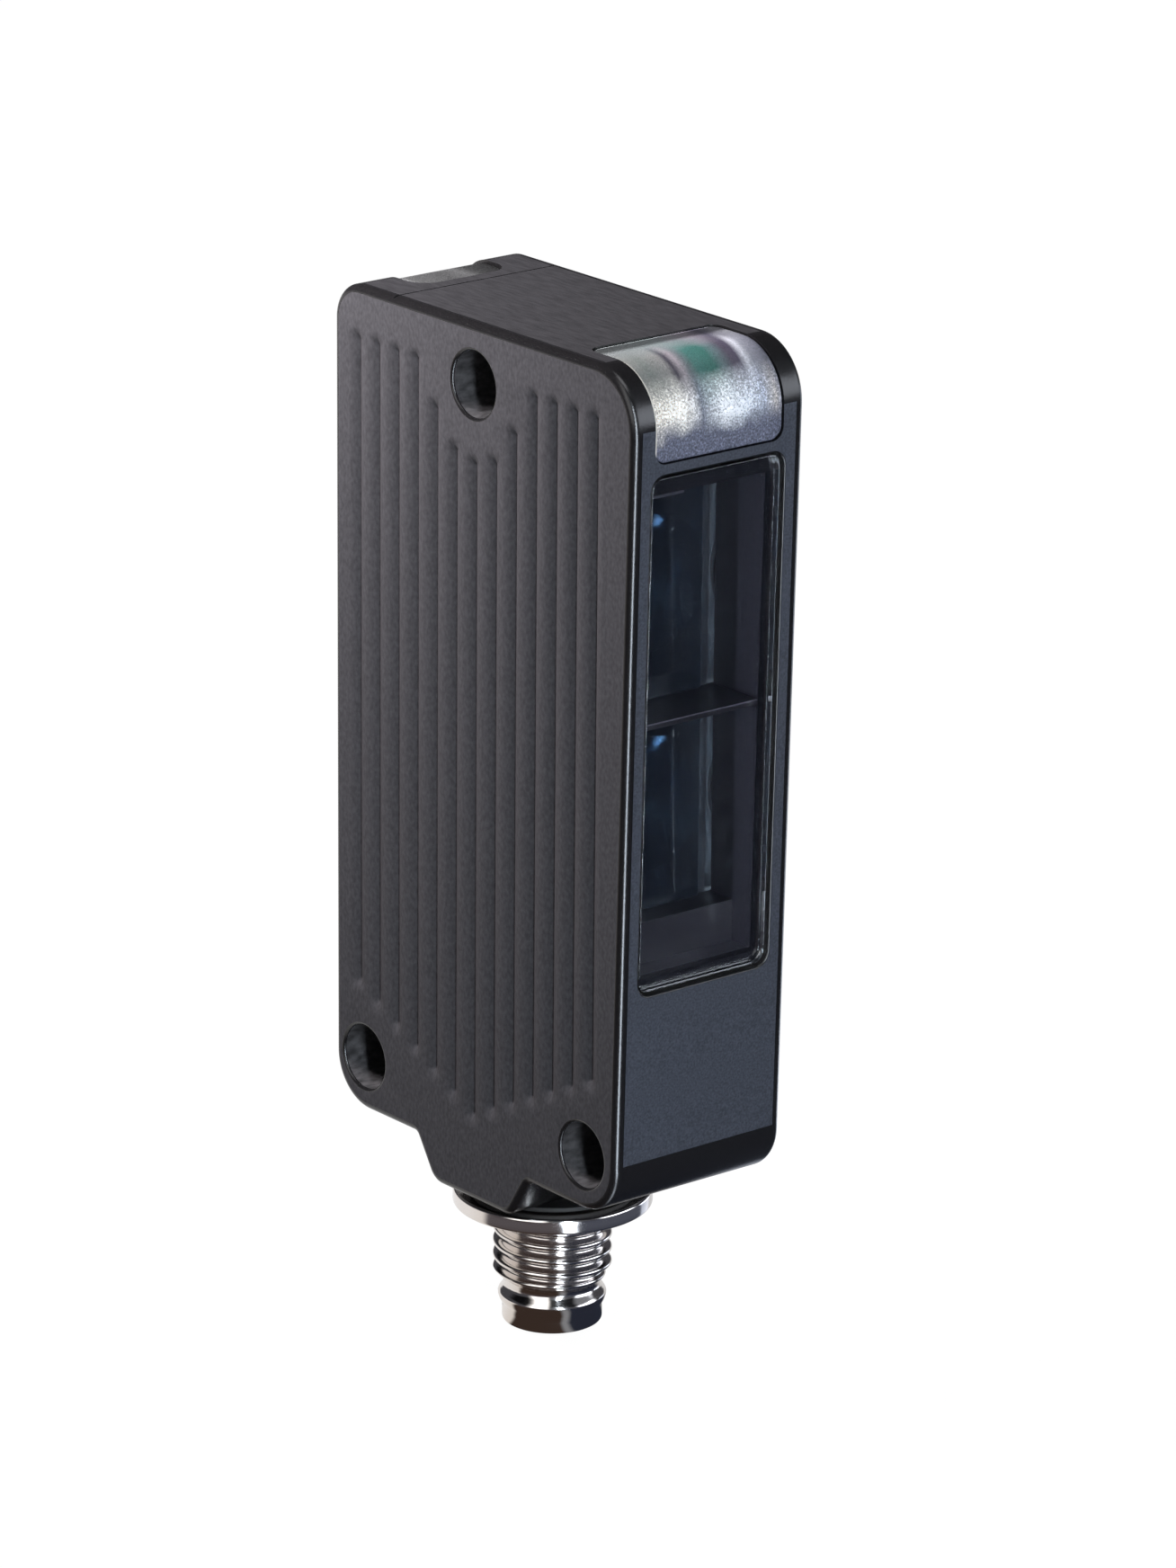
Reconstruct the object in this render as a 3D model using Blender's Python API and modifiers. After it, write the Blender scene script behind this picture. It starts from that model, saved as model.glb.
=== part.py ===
"""Retro-reflective photoelectric sensor in a slim moulded housing with an M8 plug at its foot.

Units are metres, +Z is up. The body is modelled about its centreline: X is the thickness, -Y is the
optical front, +Y is the back, and Z = 0 is the lower edge of the moulded body. Every part hangs on one
empty, which lifts the model so that the origin lies under the middle of the whole sensor.
"""
import math

import bmesh
import bpy
import numpy as np
from mathutils import Matrix

# Moulded body
THICKNESS = 0.0140
BODY_HEIGHT = 0.05695
BACK_REACH = 0.01475
FRONT_REACH = 0.01495
FRONT_LEAN = 0.0248
CORNER_BOTTOM = 0.0035
CORNER_TOP_BACK = 0.0026
CORNER_TOP_FRONT = 0.0040
EDGE_ROUND = 0.0005
WALL = 0.0011

# Tab under the body, which carries the plug
TAB_HALF_TOP = 0.00598
TAB_HALF_FOOT = 0.0041
TAB_DROP = 0.00295
TAB_ROUND = 0.0015

# Through bores for the fixing screws
BORE_RADIUS = 0.00222
BORE_CHAMFER = 0.00018
BOSS_WALL = 0.0009
TOP_BORE_DROP = 0.00405
LOWER_BORE_HEIGHT = 0.00371
BACK_BORE_MARGIN = 0.00315
FRONT_BORE_MARGIN = 0.00335

# Grip grooves in both side faces
GROOVE_PITCH = 0.002046
GROOVE_RADIUS = 0.0009
GROOVE_DEPTH = 0.0003
GROOVE_EDGE_MARGIN = 0.0022
GROOVE_TOP_MARGIN = 0.00295
GROOVE_FOOT = 0.0024
GROOVE_FOOT_RISE = 0.000994
LAND_RADIUS = 0.00465

# Window in the front face, the pane in it and the glue frame behind the pane
WINDOW_HALF_WIDTH = 0.00545
WINDOW_FOOT = 0.0152
WINDOW_TOP_MARGIN = 0.0069
WINDOW_CORNER = 0.0010
PANE_GAP = 0.00020
PANE_SINK = 0.0002
PANE_THICKNESS = 0.0009
SEAT_GAP = 0.00015

# Optics holder: its rim is parallel to the leaning front. The planes behind it are upright, and their
# depths are measured forwards from its rear face
HOLDER_SINK = 0.0020
HOLDER_WALL = 0.00025
HOLDER_SIDE_GAP = 0.0001
HOLDER_END_GAP = 0.00025
CHAMBER_FOOT_WALL = 0.0006
CHAMBER_TOP_WALL = 0.0017
FRAME_DEPTH = 0.0065
FRAME_SILL = 0.0028
LENS_DEPTH = 0.0045
DIVIDER_SHARE = 0.51277
DIVIDER_THICKNESS = 0.0004
CEILING_STEP = 0.00045
CEILING_STEP_X = 0.0015
LENS_PLATE = 0.0012
LENS_MARGIN = 0.00039
LENS_BULGE = 0.0014
FILM_HALF_WIDTH = 0.0036
FILM_THICKNESS = 0.00015
DIODE_BORE = 0.0016

# Circuit boards and what they carry
BOARD_THICKNESS = 0.0008
BOARD_BOSS_GAP = 0.00108
BOARD_EDGE_GAP = 0.0004
BOARD_TOP_GAP = 0.0012
BOARD_STANDOFF = 0.0012
INDICATOR_BOARD_SETBACK = 0.0021
LED_SIZE = 0.0016
LED_HEIGHT = 0.0006
DIODE_SIZE = 0.0020
POWER_LED_X = 0.0009
OUTPUT_LED_X = -0.0028
CHIP_SIZE = 0.0040
CHIP_HEIGHT = 0.0009
DRIVER_LENGTH = 0.0030
DRIVER_WIDTH = 0.0017
HEADER_LENGTH = 0.0060
HEADER_WIDTH = 0.0016

# Indicator lens over the top front corner and pill lens over the top back corner
LENS_SKIN = 0.0009
INDICATOR_HALF_WIDTH = 0.0052
INDICATOR_LENGTH = 0.0069
INDICATOR_FOOT_MARGIN = 0.0060
INDICATOR_CORNER = 0.0009
INDICATOR_SINK = 0.00010
GUIDE_WIDTH = 0.0020
PILL_HALF_WIDTH = 0.0037
PILL_LENGTH = 0.00505
PILL_FOOT_MARGIN = 0.0048
PILL_CORNER = 0.0016
PILL_SINK = 0.00018
LENS_GAP = 0.00006
SEAM_MARGIN = 0.00625
SEAM_WIDTH = 0.00014

# M8 plug, measured downwards from the tab
PLUG_GAP = 0.00055
SEAL_RADIUS = 0.0056
RING_RADIUS = 0.0067
RING_THICKNESS = 0.0011
RING_ROUND = 0.0002
THREAD_RADIUS = 0.0040
THREAD_LENGTH = 0.0047
THREAD_RELIEF = 0.0006
THREAD_CHAMFER = 0.0009
NECK_RADIUS = 0.00322
NECK_LENGTH = 0.0004
LIP_RADIUS = 0.00366
LIP_RISE = 0.0006
LIP_FALL = 0.0004
TIP_RADIUS = 0.0033
TIP_LENGTH = 0.0014
TIP_ROUND = 0.0002
PLUG_WALL = 0.00062
STEM_RADIUS = 0.0036
STEM_REACH = 0.0036
STEM_GAP = 0.00012
INSERT_FACE_DEPTH = 0.0062
INSERT_LENGTH = 0.0012
PIN_RADIUS = 0.0005
PIN_OFFSET = 0.0009
PIN_TIP_DEPTH = 0.0012
PIN_TAIL_RADIUS = 0.0003
PIN_TAIL = 0.0028

# Facets
ARC_STEP = math.radians(11.25)
RIM_STEP = math.radians(30)
FINE_STEPS = 42
DOME_RINGS = 6
SMALL_STEPS = 20
GROOVE_STEPS = 24
EDGE_STEPS = 3
SMALL_EDGE_STEPS = 2
CORNER_STEPS = 4
SHARP_ANGLE = math.radians(50)
WHOLE_WEIGHT = 100
CUT_MARGIN = 0.0010
TOUCH = 0.00001

# Places worked out from the sizes above
half_thickness = THICKNESS / 2
lean_angle = math.atan(FRONT_LEAN)
cavity_half = half_thickness - WALL
boss_radius = BORE_RADIUS + BOSS_WALL
top_bore = (0.0, BODY_HEIGHT - TOP_BORE_DROP)
back_bore = (BACK_REACH - BACK_BORE_MARGIN, LOWER_BORE_HEIGHT)
front_bore = (FRONT_BORE_MARGIN - FRONT_REACH, LOWER_BORE_HEIGHT)
window_top = BODY_HEIGHT - WINDOW_TOP_MARGIN
holder_half = WINDOW_HALF_WIDTH - HOLDER_SIDE_GAP
holder_foot = WINDOW_FOOT + HOLDER_END_GAP
holder_top = window_top - HOLDER_END_GAP
chamber_half = holder_half - HOLDER_WALL
chamber_foot = holder_foot + CHAMBER_FOOT_WALL
chamber_top = holder_top - CHAMBER_TOP_WALL
sill = chamber_foot + FRAME_SILL
divider_top = WINDOW_FOOT + DIVIDER_SHARE * (window_top - WINDOW_FOOT)
divider_foot = divider_top - DIVIDER_THICKNESS
lens_radius = min(chamber_half, (divider_foot - sill) / 2) - LENS_MARGIN
optics_board_back = -boss_radius - BOARD_BOSS_GAP
optics_board_front = optics_board_back - BOARD_THICKNESS
holder_rear = optics_board_front - SEAT_GAP
frame_plane = holder_rear - FRAME_DEPTH
lens_front = holder_rear - LENS_DEPTH
lens_back = lens_front + LENS_PLATE
main_board_front = optics_board_back + BOARD_STANDOFF
main_board_back = BACK_REACH - WALL - BOARD_EDGE_GAP
board_top = BODY_HEIGHT - WALL - BOARD_TOP_GAP
indicator_foot = BODY_HEIGHT - INDICATOR_FOOT_MARGIN
indicator_board_top = holder_top + SEAT_GAP + BOARD_THICKNESS
indicator_led_top = indicator_board_top + SEAT_GAP + LED_HEIGHT
pill_front = BACK_REACH - PILL_LENGTH
pill_foot = BODY_HEIGHT - PILL_FOOT_MARGIN
ring_top = -TAB_DROP - PLUG_GAP
ring_foot = ring_top - RING_THICKNESS
thread_foot = ring_foot - THREAD_LENGTH
neck_top = thread_foot - THREAD_CHAMFER
neck_foot = neck_top - NECK_LENGTH
lip_height = neck_foot - LIP_RISE
tip_top = lip_height - LIP_FALL
plug_foot = tip_top - TIP_LENGTH
stem_top = ring_top + STEM_REACH
plug_bore = TIP_RADIUS - PLUG_WALL
insert_bore = STEM_RADIUS - PLUG_WALL
insert_shoulder = (ring_top + ring_foot) / 2
insert_face = plug_foot + INSERT_FACE_DEPTH
insert_top = stem_top + INSERT_LENGTH


def front_at(height, depth=0.0):
    """Y of the leaning front face at a height, moved inwards by a depth."""
    return depth / math.cos(lean_angle) - FRONT_REACH - FRONT_LEAN * height


def corner_centre_front(radius):
    """Centre of a top front rounding that touches the roof and the leaning front face."""
    height = BODY_HEIGHT - radius
    return front_at(height, radius), height


front_tip = CORNER_TOP_FRONT - corner_centre_front(CORNER_TOP_FRONT)[0]
indicator_rear = INDICATOR_LENGTH - front_tip
lamp_y = (indicator_rear + front_at(indicator_foot, LENS_SKIN)) / 2


# Scene and materials
def clear_scene():
    for item in list(bpy.data.objects):
        bpy.data.objects.remove(item)


def collection(name):
    group = bpy.data.collections.new(name)
    bpy.context.scene.collection.children.link(group)
    return group


def material(name, colour, roughness, metallic=0.0, transmission=0.0):
    finish = bpy.data.materials.new(name)
    finish.use_nodes = True
    shader = finish.node_tree.nodes["Principled BSDF"]
    shader.inputs["Base Color"].default_value = (*colour, 1.0)
    shader.inputs["Roughness"].default_value = roughness
    shader.inputs["Metallic"].default_value = metallic
    shader.inputs["Transmission Weight"].default_value = transmission
    return finish


clear_scene()
parts = collection("photoelectric_sensor")
cutters = collection("cutters")
sensor = bpy.data.objects.new("sensor", None)
sensor.location = (0.0, (front_tip - BACK_REACH) / 2, -plug_foot)
parts.objects.link(sensor)
optics = bpy.data.objects.new("optical_front", None)
optics.parent = sensor
optics.location = (0.0, -FRONT_REACH, 0.0)
optics.rotation_euler = (lean_angle, 0.0, 0.0)
parts.objects.link(optics)


# Objects
def place(thing, finish, parent=sensor):
    """Puts a thing among the parts with its material, or among the cutters where it has none."""
    thing.parent = parent
    if finish is None:
        cutters.objects.link(thing)
        thing.hide_render = True
        thing.display_type = "WIRE"
        return thing
    parts.objects.link(thing)
    thing.data.materials.clear()
    thing.data.materials.append(finish)
    return thing


def from_bmesh(name, shape, finish, parent=sensor):
    mesh = bpy.data.meshes.new(name)
    shape.to_mesh(mesh)
    shape.free()
    return place(bpy.data.objects.new(name, mesh), finish, parent)


def box(name, low, high, finish, parent=sensor, round_edges=0.0):
    """A box from its low corner to its high corner."""
    low, high = np.array(low), np.array(high)
    shape = bmesh.new()
    bmesh.ops.create_cube(shape, size=1.0)
    bmesh.ops.scale(shape, vec=tuple(high - low), verts=shape.verts)
    bmesh.ops.translate(shape, vec=tuple((high + low) / 2), verts=shape.verts)
    thing = from_bmesh(name, shape, finish, parent)
    if round_edges:
        bevel(thing, round_edges, SMALL_EDGE_STEPS)
    return thing


def cylinder_x(name, centre, radius, half_length, finish, parent=sensor, steps=FINE_STEPS):
    """A cylinder along X about a point of the YZ plane."""
    shape = bmesh.new()
    bmesh.ops.create_cone(shape, cap_ends=True, segments=steps, radius1=radius, radius2=radius,
                          depth=2 * half_length)
    bmesh.ops.rotate(shape, cent=(0, 0, 0), matrix=Matrix.Rotation(math.pi / 2, 3, "Y"), verts=shape.verts)
    bmesh.ops.translate(shape, vec=(0.0, *centre), verts=shape.verts)
    return from_bmesh(name, shape, finish, parent)


def turned(name, profile, finish, parent=sensor, at=(0, 0, 0), turn=(0, 0, 0), steps=FINE_STEPS, ring=False):
    """A profile of (radius, height) points, listed downwards along its outer side and turned about Z."""
    count = len(profile)
    edges = [(i, i + 1) for i in range(count - 1)]
    if ring:
        edges.append((count - 1, 0))
    mesh = bpy.data.meshes.new(name)
    mesh.from_pydata([(radius, 0.0, height) for radius, height in profile], edges, [])
    thing = place(bpy.data.objects.new(name, mesh), finish, parent)
    thing.location = at
    thing.rotation_euler = turn
    screw = thing.modifiers.new("turn", "SCREW")
    screw.steps = steps
    screw.render_steps = steps
    screw.use_merge_vertices = True
    screw.merge_threshold = 0.000001
    screw.use_smooth_shade = True
    shading = thing.modifiers.new("shading", "WEIGHTED_NORMAL")
    shading.weight = WHOLE_WEIGHT
    return thing


def bevel(thing, width, segments, by_weight=False):
    rounding = thing.modifiers.new("round", "BEVEL")
    rounding.width = width
    rounding.segments = segments
    rounding.limit_method = "WEIGHT" if by_weight else "ANGLE"
    rounding.angle_limit = SHARP_ANGLE
    rounding.use_clamp_overlap = True
    return rounding


def boolean(thing, other, operation="DIFFERENCE"):
    cut = thing.modifiers.new(operation.lower(), "BOOLEAN")
    cut.operation = operation
    cut.solver = "EXACT"
    cut.object = other
    return cut


def arc(centre, radius, start, end, step=ARC_STEP):
    """Points of an arc about a centre, with a fixed angle between them at most."""
    steps = max(1, math.ceil(abs(end - start) / step - 0.001))
    angles = np.linspace(start, end, steps + 1)
    return [(centre[0] + radius * math.cos(a), centre[1] + radius * math.sin(a)) for a in angles]


def rounded_outline(corners):
    """A closed outline through (x, y, radius) corners, each corner replaced by its fillet arc."""
    points = []
    for index, (x, y, radius) in enumerate(corners):
        here = np.array((x, y))
        before = np.array(corners[index - 1][:2]) - here
        after = np.array(corners[(index + 1) % len(corners)][:2]) - here
        if radius <= 0:
            points.append((x, y))
            continue
        before /= np.linalg.norm(before)
        after /= np.linalg.norm(after)
        half = math.acos(float(np.clip(before @ after, -1, 1))) / 2
        inward = (before + after) / np.linalg.norm(before + after)
        centre = here + inward * radius / math.sin(half)
        run = radius / math.tan(half)
        first = here + before * run - centre
        last = here + after * run - centre
        start = math.atan2(first[1], first[0])
        sweep = (math.atan2(last[1], last[0]) - start + math.pi) % (2 * math.pi) - math.pi
        points += arc(centre, radius, start, start + sweep)
    return points


def slab(name, outline, half_width, finish, parent=sensor, upright=True):
    """A flat outline as a filled 2D curve, extruded to both sides and made a welded mesh.

    An upright slab has its outline in the YZ plane and its width along X. Otherwise the outline lies in
    the XZ plane and the width runs along Y.
    """
    curve = bpy.data.curves.new(name, "CURVE")
    curve.dimensions = "2D"
    curve.fill_mode = "BOTH"
    curve.extrude = half_width
    spline = curve.splines.new("POLY")
    spline.points.add(len(outline) - 1)
    for point, (x, y) in zip(spline.points, outline):
        point.co = (x, y, 0.0, 1.0)
    spline.use_cyclic_u = True
    drawn = bpy.data.objects.new(name, curve)
    parts.objects.link(drawn)
    drawn.rotation_euler = (math.pi / 2, 0.0, math.pi / 2) if upright else (math.pi / 2, 0.0, 0.0)
    depsgraph = bpy.context.evaluated_depsgraph_get()
    mesh = bpy.data.meshes.new_from_object(drawn.evaluated_get(depsgraph))
    shape = bmesh.new()
    shape.from_mesh(mesh)
    bmesh.ops.remove_doubles(shape, verts=shape.verts, dist=0.000001)
    bmesh.ops.dissolve_limit(shape, angle_limit=0.01, verts=shape.verts, edges=shape.edges)
    bmesh.ops.recalc_face_normals(shape, faces=shape.faces)
    shape.transform(drawn.matrix_world)
    bpy.data.objects.remove(drawn)
    bpy.data.meshes.remove(mesh)
    thing = from_bmesh(name, shape, finish, parent)
    thing.data.shade_smooth()
    thing.data.set_sharp_from_angle(angle=2 * ARC_STEP)
    return thing


# Outlines of the body
def body_outline():
    """Side view of the body with its tab, as (Y, Z) corners."""
    return rounded_outline([
        (front_at(0.0), 0.0, CORNER_BOTTOM),
        (-TAB_HALF_TOP, 0.0, EDGE_ROUND),
        (-TAB_HALF_FOOT, -TAB_DROP, TAB_ROUND),
        (TAB_HALF_FOOT, -TAB_DROP, TAB_ROUND),
        (TAB_HALF_TOP, 0.0, EDGE_ROUND),
        (BACK_REACH, 0.0, CORNER_BOTTOM),
        (BACK_REACH, BODY_HEIGHT, CORNER_TOP_BACK),
        (front_at(BODY_HEIGHT), BODY_HEIGHT, CORNER_TOP_FRONT),
    ])


def cavity_outline():
    """Side view of the hollow inside, one wall in from the body."""
    roof = BODY_HEIGHT - WALL
    return rounded_outline([
        (front_at(WALL, WALL), WALL, CORNER_BOTTOM - WALL),
        (BACK_REACH - WALL, WALL, CORNER_BOTTOM - WALL),
        (BACK_REACH - WALL, roof, CORNER_TOP_BACK - WALL),
        (front_at(roof, WALL), roof, CORNER_TOP_FRONT - WALL),
    ])


def wrap_line(inset, front, start, foot):
    """A line along the roof and round a top corner, from Y = start down to Z = foot, moved inwards."""
    if front:
        radius = CORNER_TOP_FRONT - inset
        centre = corner_centre_front(CORNER_TOP_FRONT)
        turn = arc(centre, radius, math.pi / 2, math.pi + lean_angle)
        end = (front_at(foot, inset), foot)
    else:
        radius = CORNER_TOP_BACK - inset
        centre = (BACK_REACH - CORNER_TOP_BACK, BODY_HEIGHT - CORNER_TOP_BACK)
        turn = arc(centre, radius, math.pi / 2, 0.0)
        end = (BACK_REACH - inset, foot)
    return [(start, BODY_HEIGHT - inset), *turn, end]


def wrap_band(name, outer, inner, front, start, foot, half_width, corner, finish):
    """A band between two insets of the body's surface, bent over a top corner, with rounded corners."""
    line = wrap_line(outer, front, start, foot)
    back = wrap_line(inner, front, start, foot)
    band = slab(name, line + back[::-1], half_width, finish)
    shape = bmesh.new()
    shape.from_mesh(band.data)
    weight = shape.edges.layers.float.new("bevel_weight_edge")
    ends = ((line[0], back[0]), (line[-1], back[-1]))
    for edge in shape.edges:
        a, b = (vert.co for vert in edge.verts)
        at_side = abs(a.x - b.x) < half_width / 10
        for first, last in ends:
            low = np.array((min(first[0], last[0]), min(first[1], last[1]))) - TOUCH
            high = np.array((max(first[0], last[0]), max(first[1], last[1]))) + TOUCH
            inside = all(low[0] <= p.y <= high[0] and low[1] <= p.z <= high[1] for p in (a, b))
            if at_side and inside:
                edge[weight] = 1.0
    shape.to_mesh(band.data)
    shape.free()
    bevel(band, corner, CORNER_STEPS, by_weight=True)
    return band


# Cutters of the body
def bore_cutter(name, centre):
    """A through bore whose two mouths have a small chamfer."""
    reach = half_thickness + CUT_MARGIN
    inner = half_thickness - BORE_CHAMFER
    wide = BORE_RADIUS + BORE_CHAMFER + CUT_MARGIN
    profile = [(0.0, reach), (wide, reach), (BORE_RADIUS, inner), (BORE_RADIUS, -inner), (wide, -reach),
               (0.0, -reach)]
    return turned(name, profile, None, at=(0.0, *centre), turn=(0.0, math.pi / 2, 0.0))


def groove_ends(offset):
    """Lowest and highest point of the groove at a distance from the centreline."""
    steps = abs(offset) / GROOVE_PITCH
    low = GROOVE_FOOT + GROOVE_FOOT_RISE * steps
    if abs(offset) < LAND_RADIUS:
        return low, top_bore[1] - math.sqrt(LAND_RADIUS ** 2 - offset ** 2)
    return low, BODY_HEIGHT - GROOVE_TOP_MARGIN


def groove_cutters():
    """Long round-ended rods, sunk into both side faces so that each leaves a shallow round groove."""
    group = bpy.data.collections.new("groove_cutters")
    cutters.children.link(group)
    count = int((min(BACK_REACH, FRONT_REACH) - GROOVE_EDGE_MARGIN) / GROOVE_PITCH)
    mouth = math.sqrt(GROOVE_RADIUS ** 2 - (GROOVE_RADIUS - GROOVE_DEPTH) ** 2)
    centre_x = half_thickness + GROOVE_RADIUS - GROOVE_DEPTH
    for step in range(-count, count + 1):
        offset = step * GROOVE_PITCH
        low, high = groove_ends(offset)
        top, foot = high - mouth, low + mouth
        cap = arc((0.0, top), GROOVE_RADIUS, math.pi / 2, 0.0)
        profile = cap + [(r, foot + top - z) for r, z in cap[::-1]]
        profile[0] = (0.0, top + GROOVE_RADIUS)
        profile[-1] = (0.0, foot - GROOVE_RADIUS)
        for side in (-1, 1):
            rod = turned(f"groove_{step + count}_{'left' if side < 0 else 'right'}", profile, None,
                         at=(side * centre_x, offset, 0.0), steps=GROOVE_STEPS)
            cutters.objects.unlink(rod)
            group.objects.link(rod)
    return group


def window_cutter():
    outline = rounded_outline([
        (-WINDOW_HALF_WIDTH, WINDOW_FOOT, WINDOW_CORNER), (WINDOW_HALF_WIDTH, WINDOW_FOOT, WINDOW_CORNER),
        (WINDOW_HALF_WIDTH, window_top, WINDOW_CORNER), (-WINDOW_HALF_WIDTH, window_top, WINDOW_CORNER)])
    return slab("window_opening", outline, WALL + CUT_MARGIN, None, optics, upright=False)


def cavity_cutter():
    cavity = slab("cavity", cavity_outline(), cavity_half, None)
    for name, centre in (("top", top_bore), ("back", back_bore), ("front", front_bore)):
        boolean(cavity, cylinder_x(f"{name}_boss", centre, boss_radius, half_thickness, None))
    return cavity


def make_housing(finish):
    """The one-piece moulding: shell, screw bosses, grooved sides and the openings in it."""
    housing = slab("housing", body_outline(), half_thickness, finish)
    bevel(housing, EDGE_ROUND, EDGE_STEPS)
    boolean(housing, cavity_cutter())
    boolean(housing, window_cutter())
    for name, centre in (("top", top_bore), ("back", back_bore), ("front", front_bore)):
        boolean(housing, bore_cutter(f"{name}_bore", centre))
    skin = WALL + CUT_MARGIN
    boolean(housing, wrap_band("indicator_opening", -CUT_MARGIN, skin, True, indicator_rear + LENS_GAP,
                               indicator_foot - LENS_GAP, INDICATOR_HALF_WIDTH + LENS_GAP,
                               INDICATOR_CORNER, None))
    boolean(housing, wrap_band("pill_opening", -CUT_MARGIN, skin, False, pill_front - LENS_GAP,
                               pill_foot - LENS_GAP, PILL_HALF_WIDTH + LENS_GAP, PILL_CORNER, None))
    stem_bore = STEM_RADIUS + STEM_GAP
    boolean(housing, turned("stem_bore", [(0.0, WALL + CUT_MARGIN), (stem_bore, WALL + CUT_MARGIN),
                                          (stem_bore, -TAB_DROP - CUT_MARGIN), (0.0, -TAB_DROP - CUT_MARGIN)],
                            None))
    seam = BACK_REACH - SEAM_MARGIN
    boolean(housing, box("seam_cut", (-THICKNESS, seam - SEAM_WIDTH / 2, BODY_HEIGHT - SEAM_WIDTH),
                         (THICKNESS, seam + SEAM_WIDTH / 2, BODY_HEIGHT + CUT_MARGIN), None))
    grooves = boolean(housing, None)
    grooves.operand_type = "COLLECTION"
    grooves.collection = groove_cutters()
    return housing


# Window, optics holder and lenses
def make_pane(finish):
    """The clear front pane, set a little into the window opening."""
    half = WINDOW_HALF_WIDTH - PANE_GAP
    low, high, radius = WINDOW_FOOT + PANE_GAP, window_top - PANE_GAP, WINDOW_CORNER - PANE_GAP
    outline = rounded_outline([(-half, low, radius), (half, low, radius), (half, high, radius),
                               (-half, high, radius)])
    pane = slab("window_pane", outline, PANE_THICKNESS / 2, finish, optics, upright=False)
    pane.location = (0.0, PANE_SINK + PANE_THICKNESS / 2, 0.0)
    return pane


def make_seal(finish):
    """The glue frame between the back of the pane and the rim of the optics holder."""
    front = PANE_SINK + PANE_THICKNESS + SEAT_GAP
    rear = HOLDER_SINK - SEAT_GAP
    seal = box("window_seal", (-holder_half, front, holder_foot), (holder_half, rear, holder_top), finish,
               optics)
    boolean(seal, box("seal_opening", (-chamber_half, front - CUT_MARGIN, chamber_foot),
                      (chamber_half, rear + CUT_MARGIN, chamber_top + CEILING_STEP), None, optics))
    return seal


# Each chamber: node prefix, floor, ceiling and the height of its lens floor
chambers = (
    ("receiver", divider_top, chamber_top, divider_top),
    ("emitter", chamber_foot, divider_foot, sill),
)


def chamber_cutter(name, floor, ceiling, lens_floor):
    """One optical chamber, open at the front, with a step up to its lens where the floor is lower."""
    front_low, front_high = front_at(floor), front_at(ceiling)
    back = lens_back + SEAT_GAP
    outline = [(front_low, floor)]
    if lens_floor > floor:
        outline += [(frame_plane, floor), (frame_plane, lens_floor)]
    outline += [(back, lens_floor), (back, ceiling), (front_high, ceiling)]
    return slab(f"{name}_chamber", outline, chamber_half, None)


def make_holder(finish):
    """The black optics block: two chambers in front, each with a funnel down to its diode."""
    outline = [(front_at(holder_foot, HOLDER_SINK), holder_foot), (holder_rear, holder_foot),
               (holder_rear, holder_top), (front_at(holder_top, HOLDER_SINK), holder_top)]
    holder = slab("optics_holder", outline, holder_half, finish)
    for name, floor, ceiling, lens_floor in chambers:
        boolean(holder, chamber_cutter(name, floor, ceiling, lens_floor))
        middle = (lens_floor + ceiling) / 2
        mouth = lens_back + SEAT_GAP
        throat = holder_rear - LED_HEIGHT - SEAT_GAP
        profile = [(0.0, mouth - CUT_MARGIN / 2), (lens_radius, mouth - CUT_MARGIN / 2), (lens_radius, mouth),
                   (DIODE_BORE, throat), (DIODE_BORE, holder_rear + CUT_MARGIN),
                   (0.0, holder_rear + CUT_MARGIN)]
        boolean(holder, turned(f"{name}_funnel", [(r, -y) for r, y in profile], None,
                               at=(0.0, 0.0, middle), turn=(math.pi / 2, 0.0, 0.0)))
    boolean(holder, box("ceiling_step", (-CEILING_STEP_X, front_at(holder_top), chamber_top - CUT_MARGIN),
                        (chamber_half - HOLDER_WALL, front_at(chamber_top, 2 * HOLDER_SINK),
                         chamber_top + CEILING_STEP), None))
    return holder


def make_lens(name, low, high, finish):
    """A clear plate with a round bulge at its back, which seats on the end of its chamber."""
    middle = (low + high) / 2
    plate = box(name, (-chamber_half + SEAT_GAP, lens_front, low + SEAT_GAP),
                (chamber_half - SEAT_GAP, lens_back, high - SEAT_GAP), finish)
    aperture = lens_radius - SEAT_GAP
    curve = (aperture ** 2 + LENS_BULGE ** 2) / (2 * LENS_BULGE)
    spread = math.asin(aperture / curve)
    dome = [(curve * math.sin(a), lens_back + LENS_BULGE - curve + curve * math.cos(a))
            for a in np.linspace(spread, 0.0, DOME_RINGS)]
    profile = [(0.0, lens_back - LENS_PLATE / 2), (aperture, lens_back - LENS_PLATE / 2), *dome[:-1],
               (0.0, lens_back + LENS_BULGE)]
    bulge = turned(f"{name}_bulge", [(r, -y) for r, y in profile], None, at=(0.0, 0.0, middle),
                   turn=(math.pi / 2, 0.0, 0.0))
    boolean(plate, bulge, "UNION")
    return plate


def make_film(name, low, high, finish):
    """A thin polarising film that lies on the front of a lens plate."""
    back = lens_front - SEAT_GAP
    return box(name, (-FILM_HALF_WIDTH, back - FILM_THICKNESS, low + SEAT_GAP),
               (FILM_HALF_WIDTH, back, high - SEAT_GAP), finish)


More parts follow.
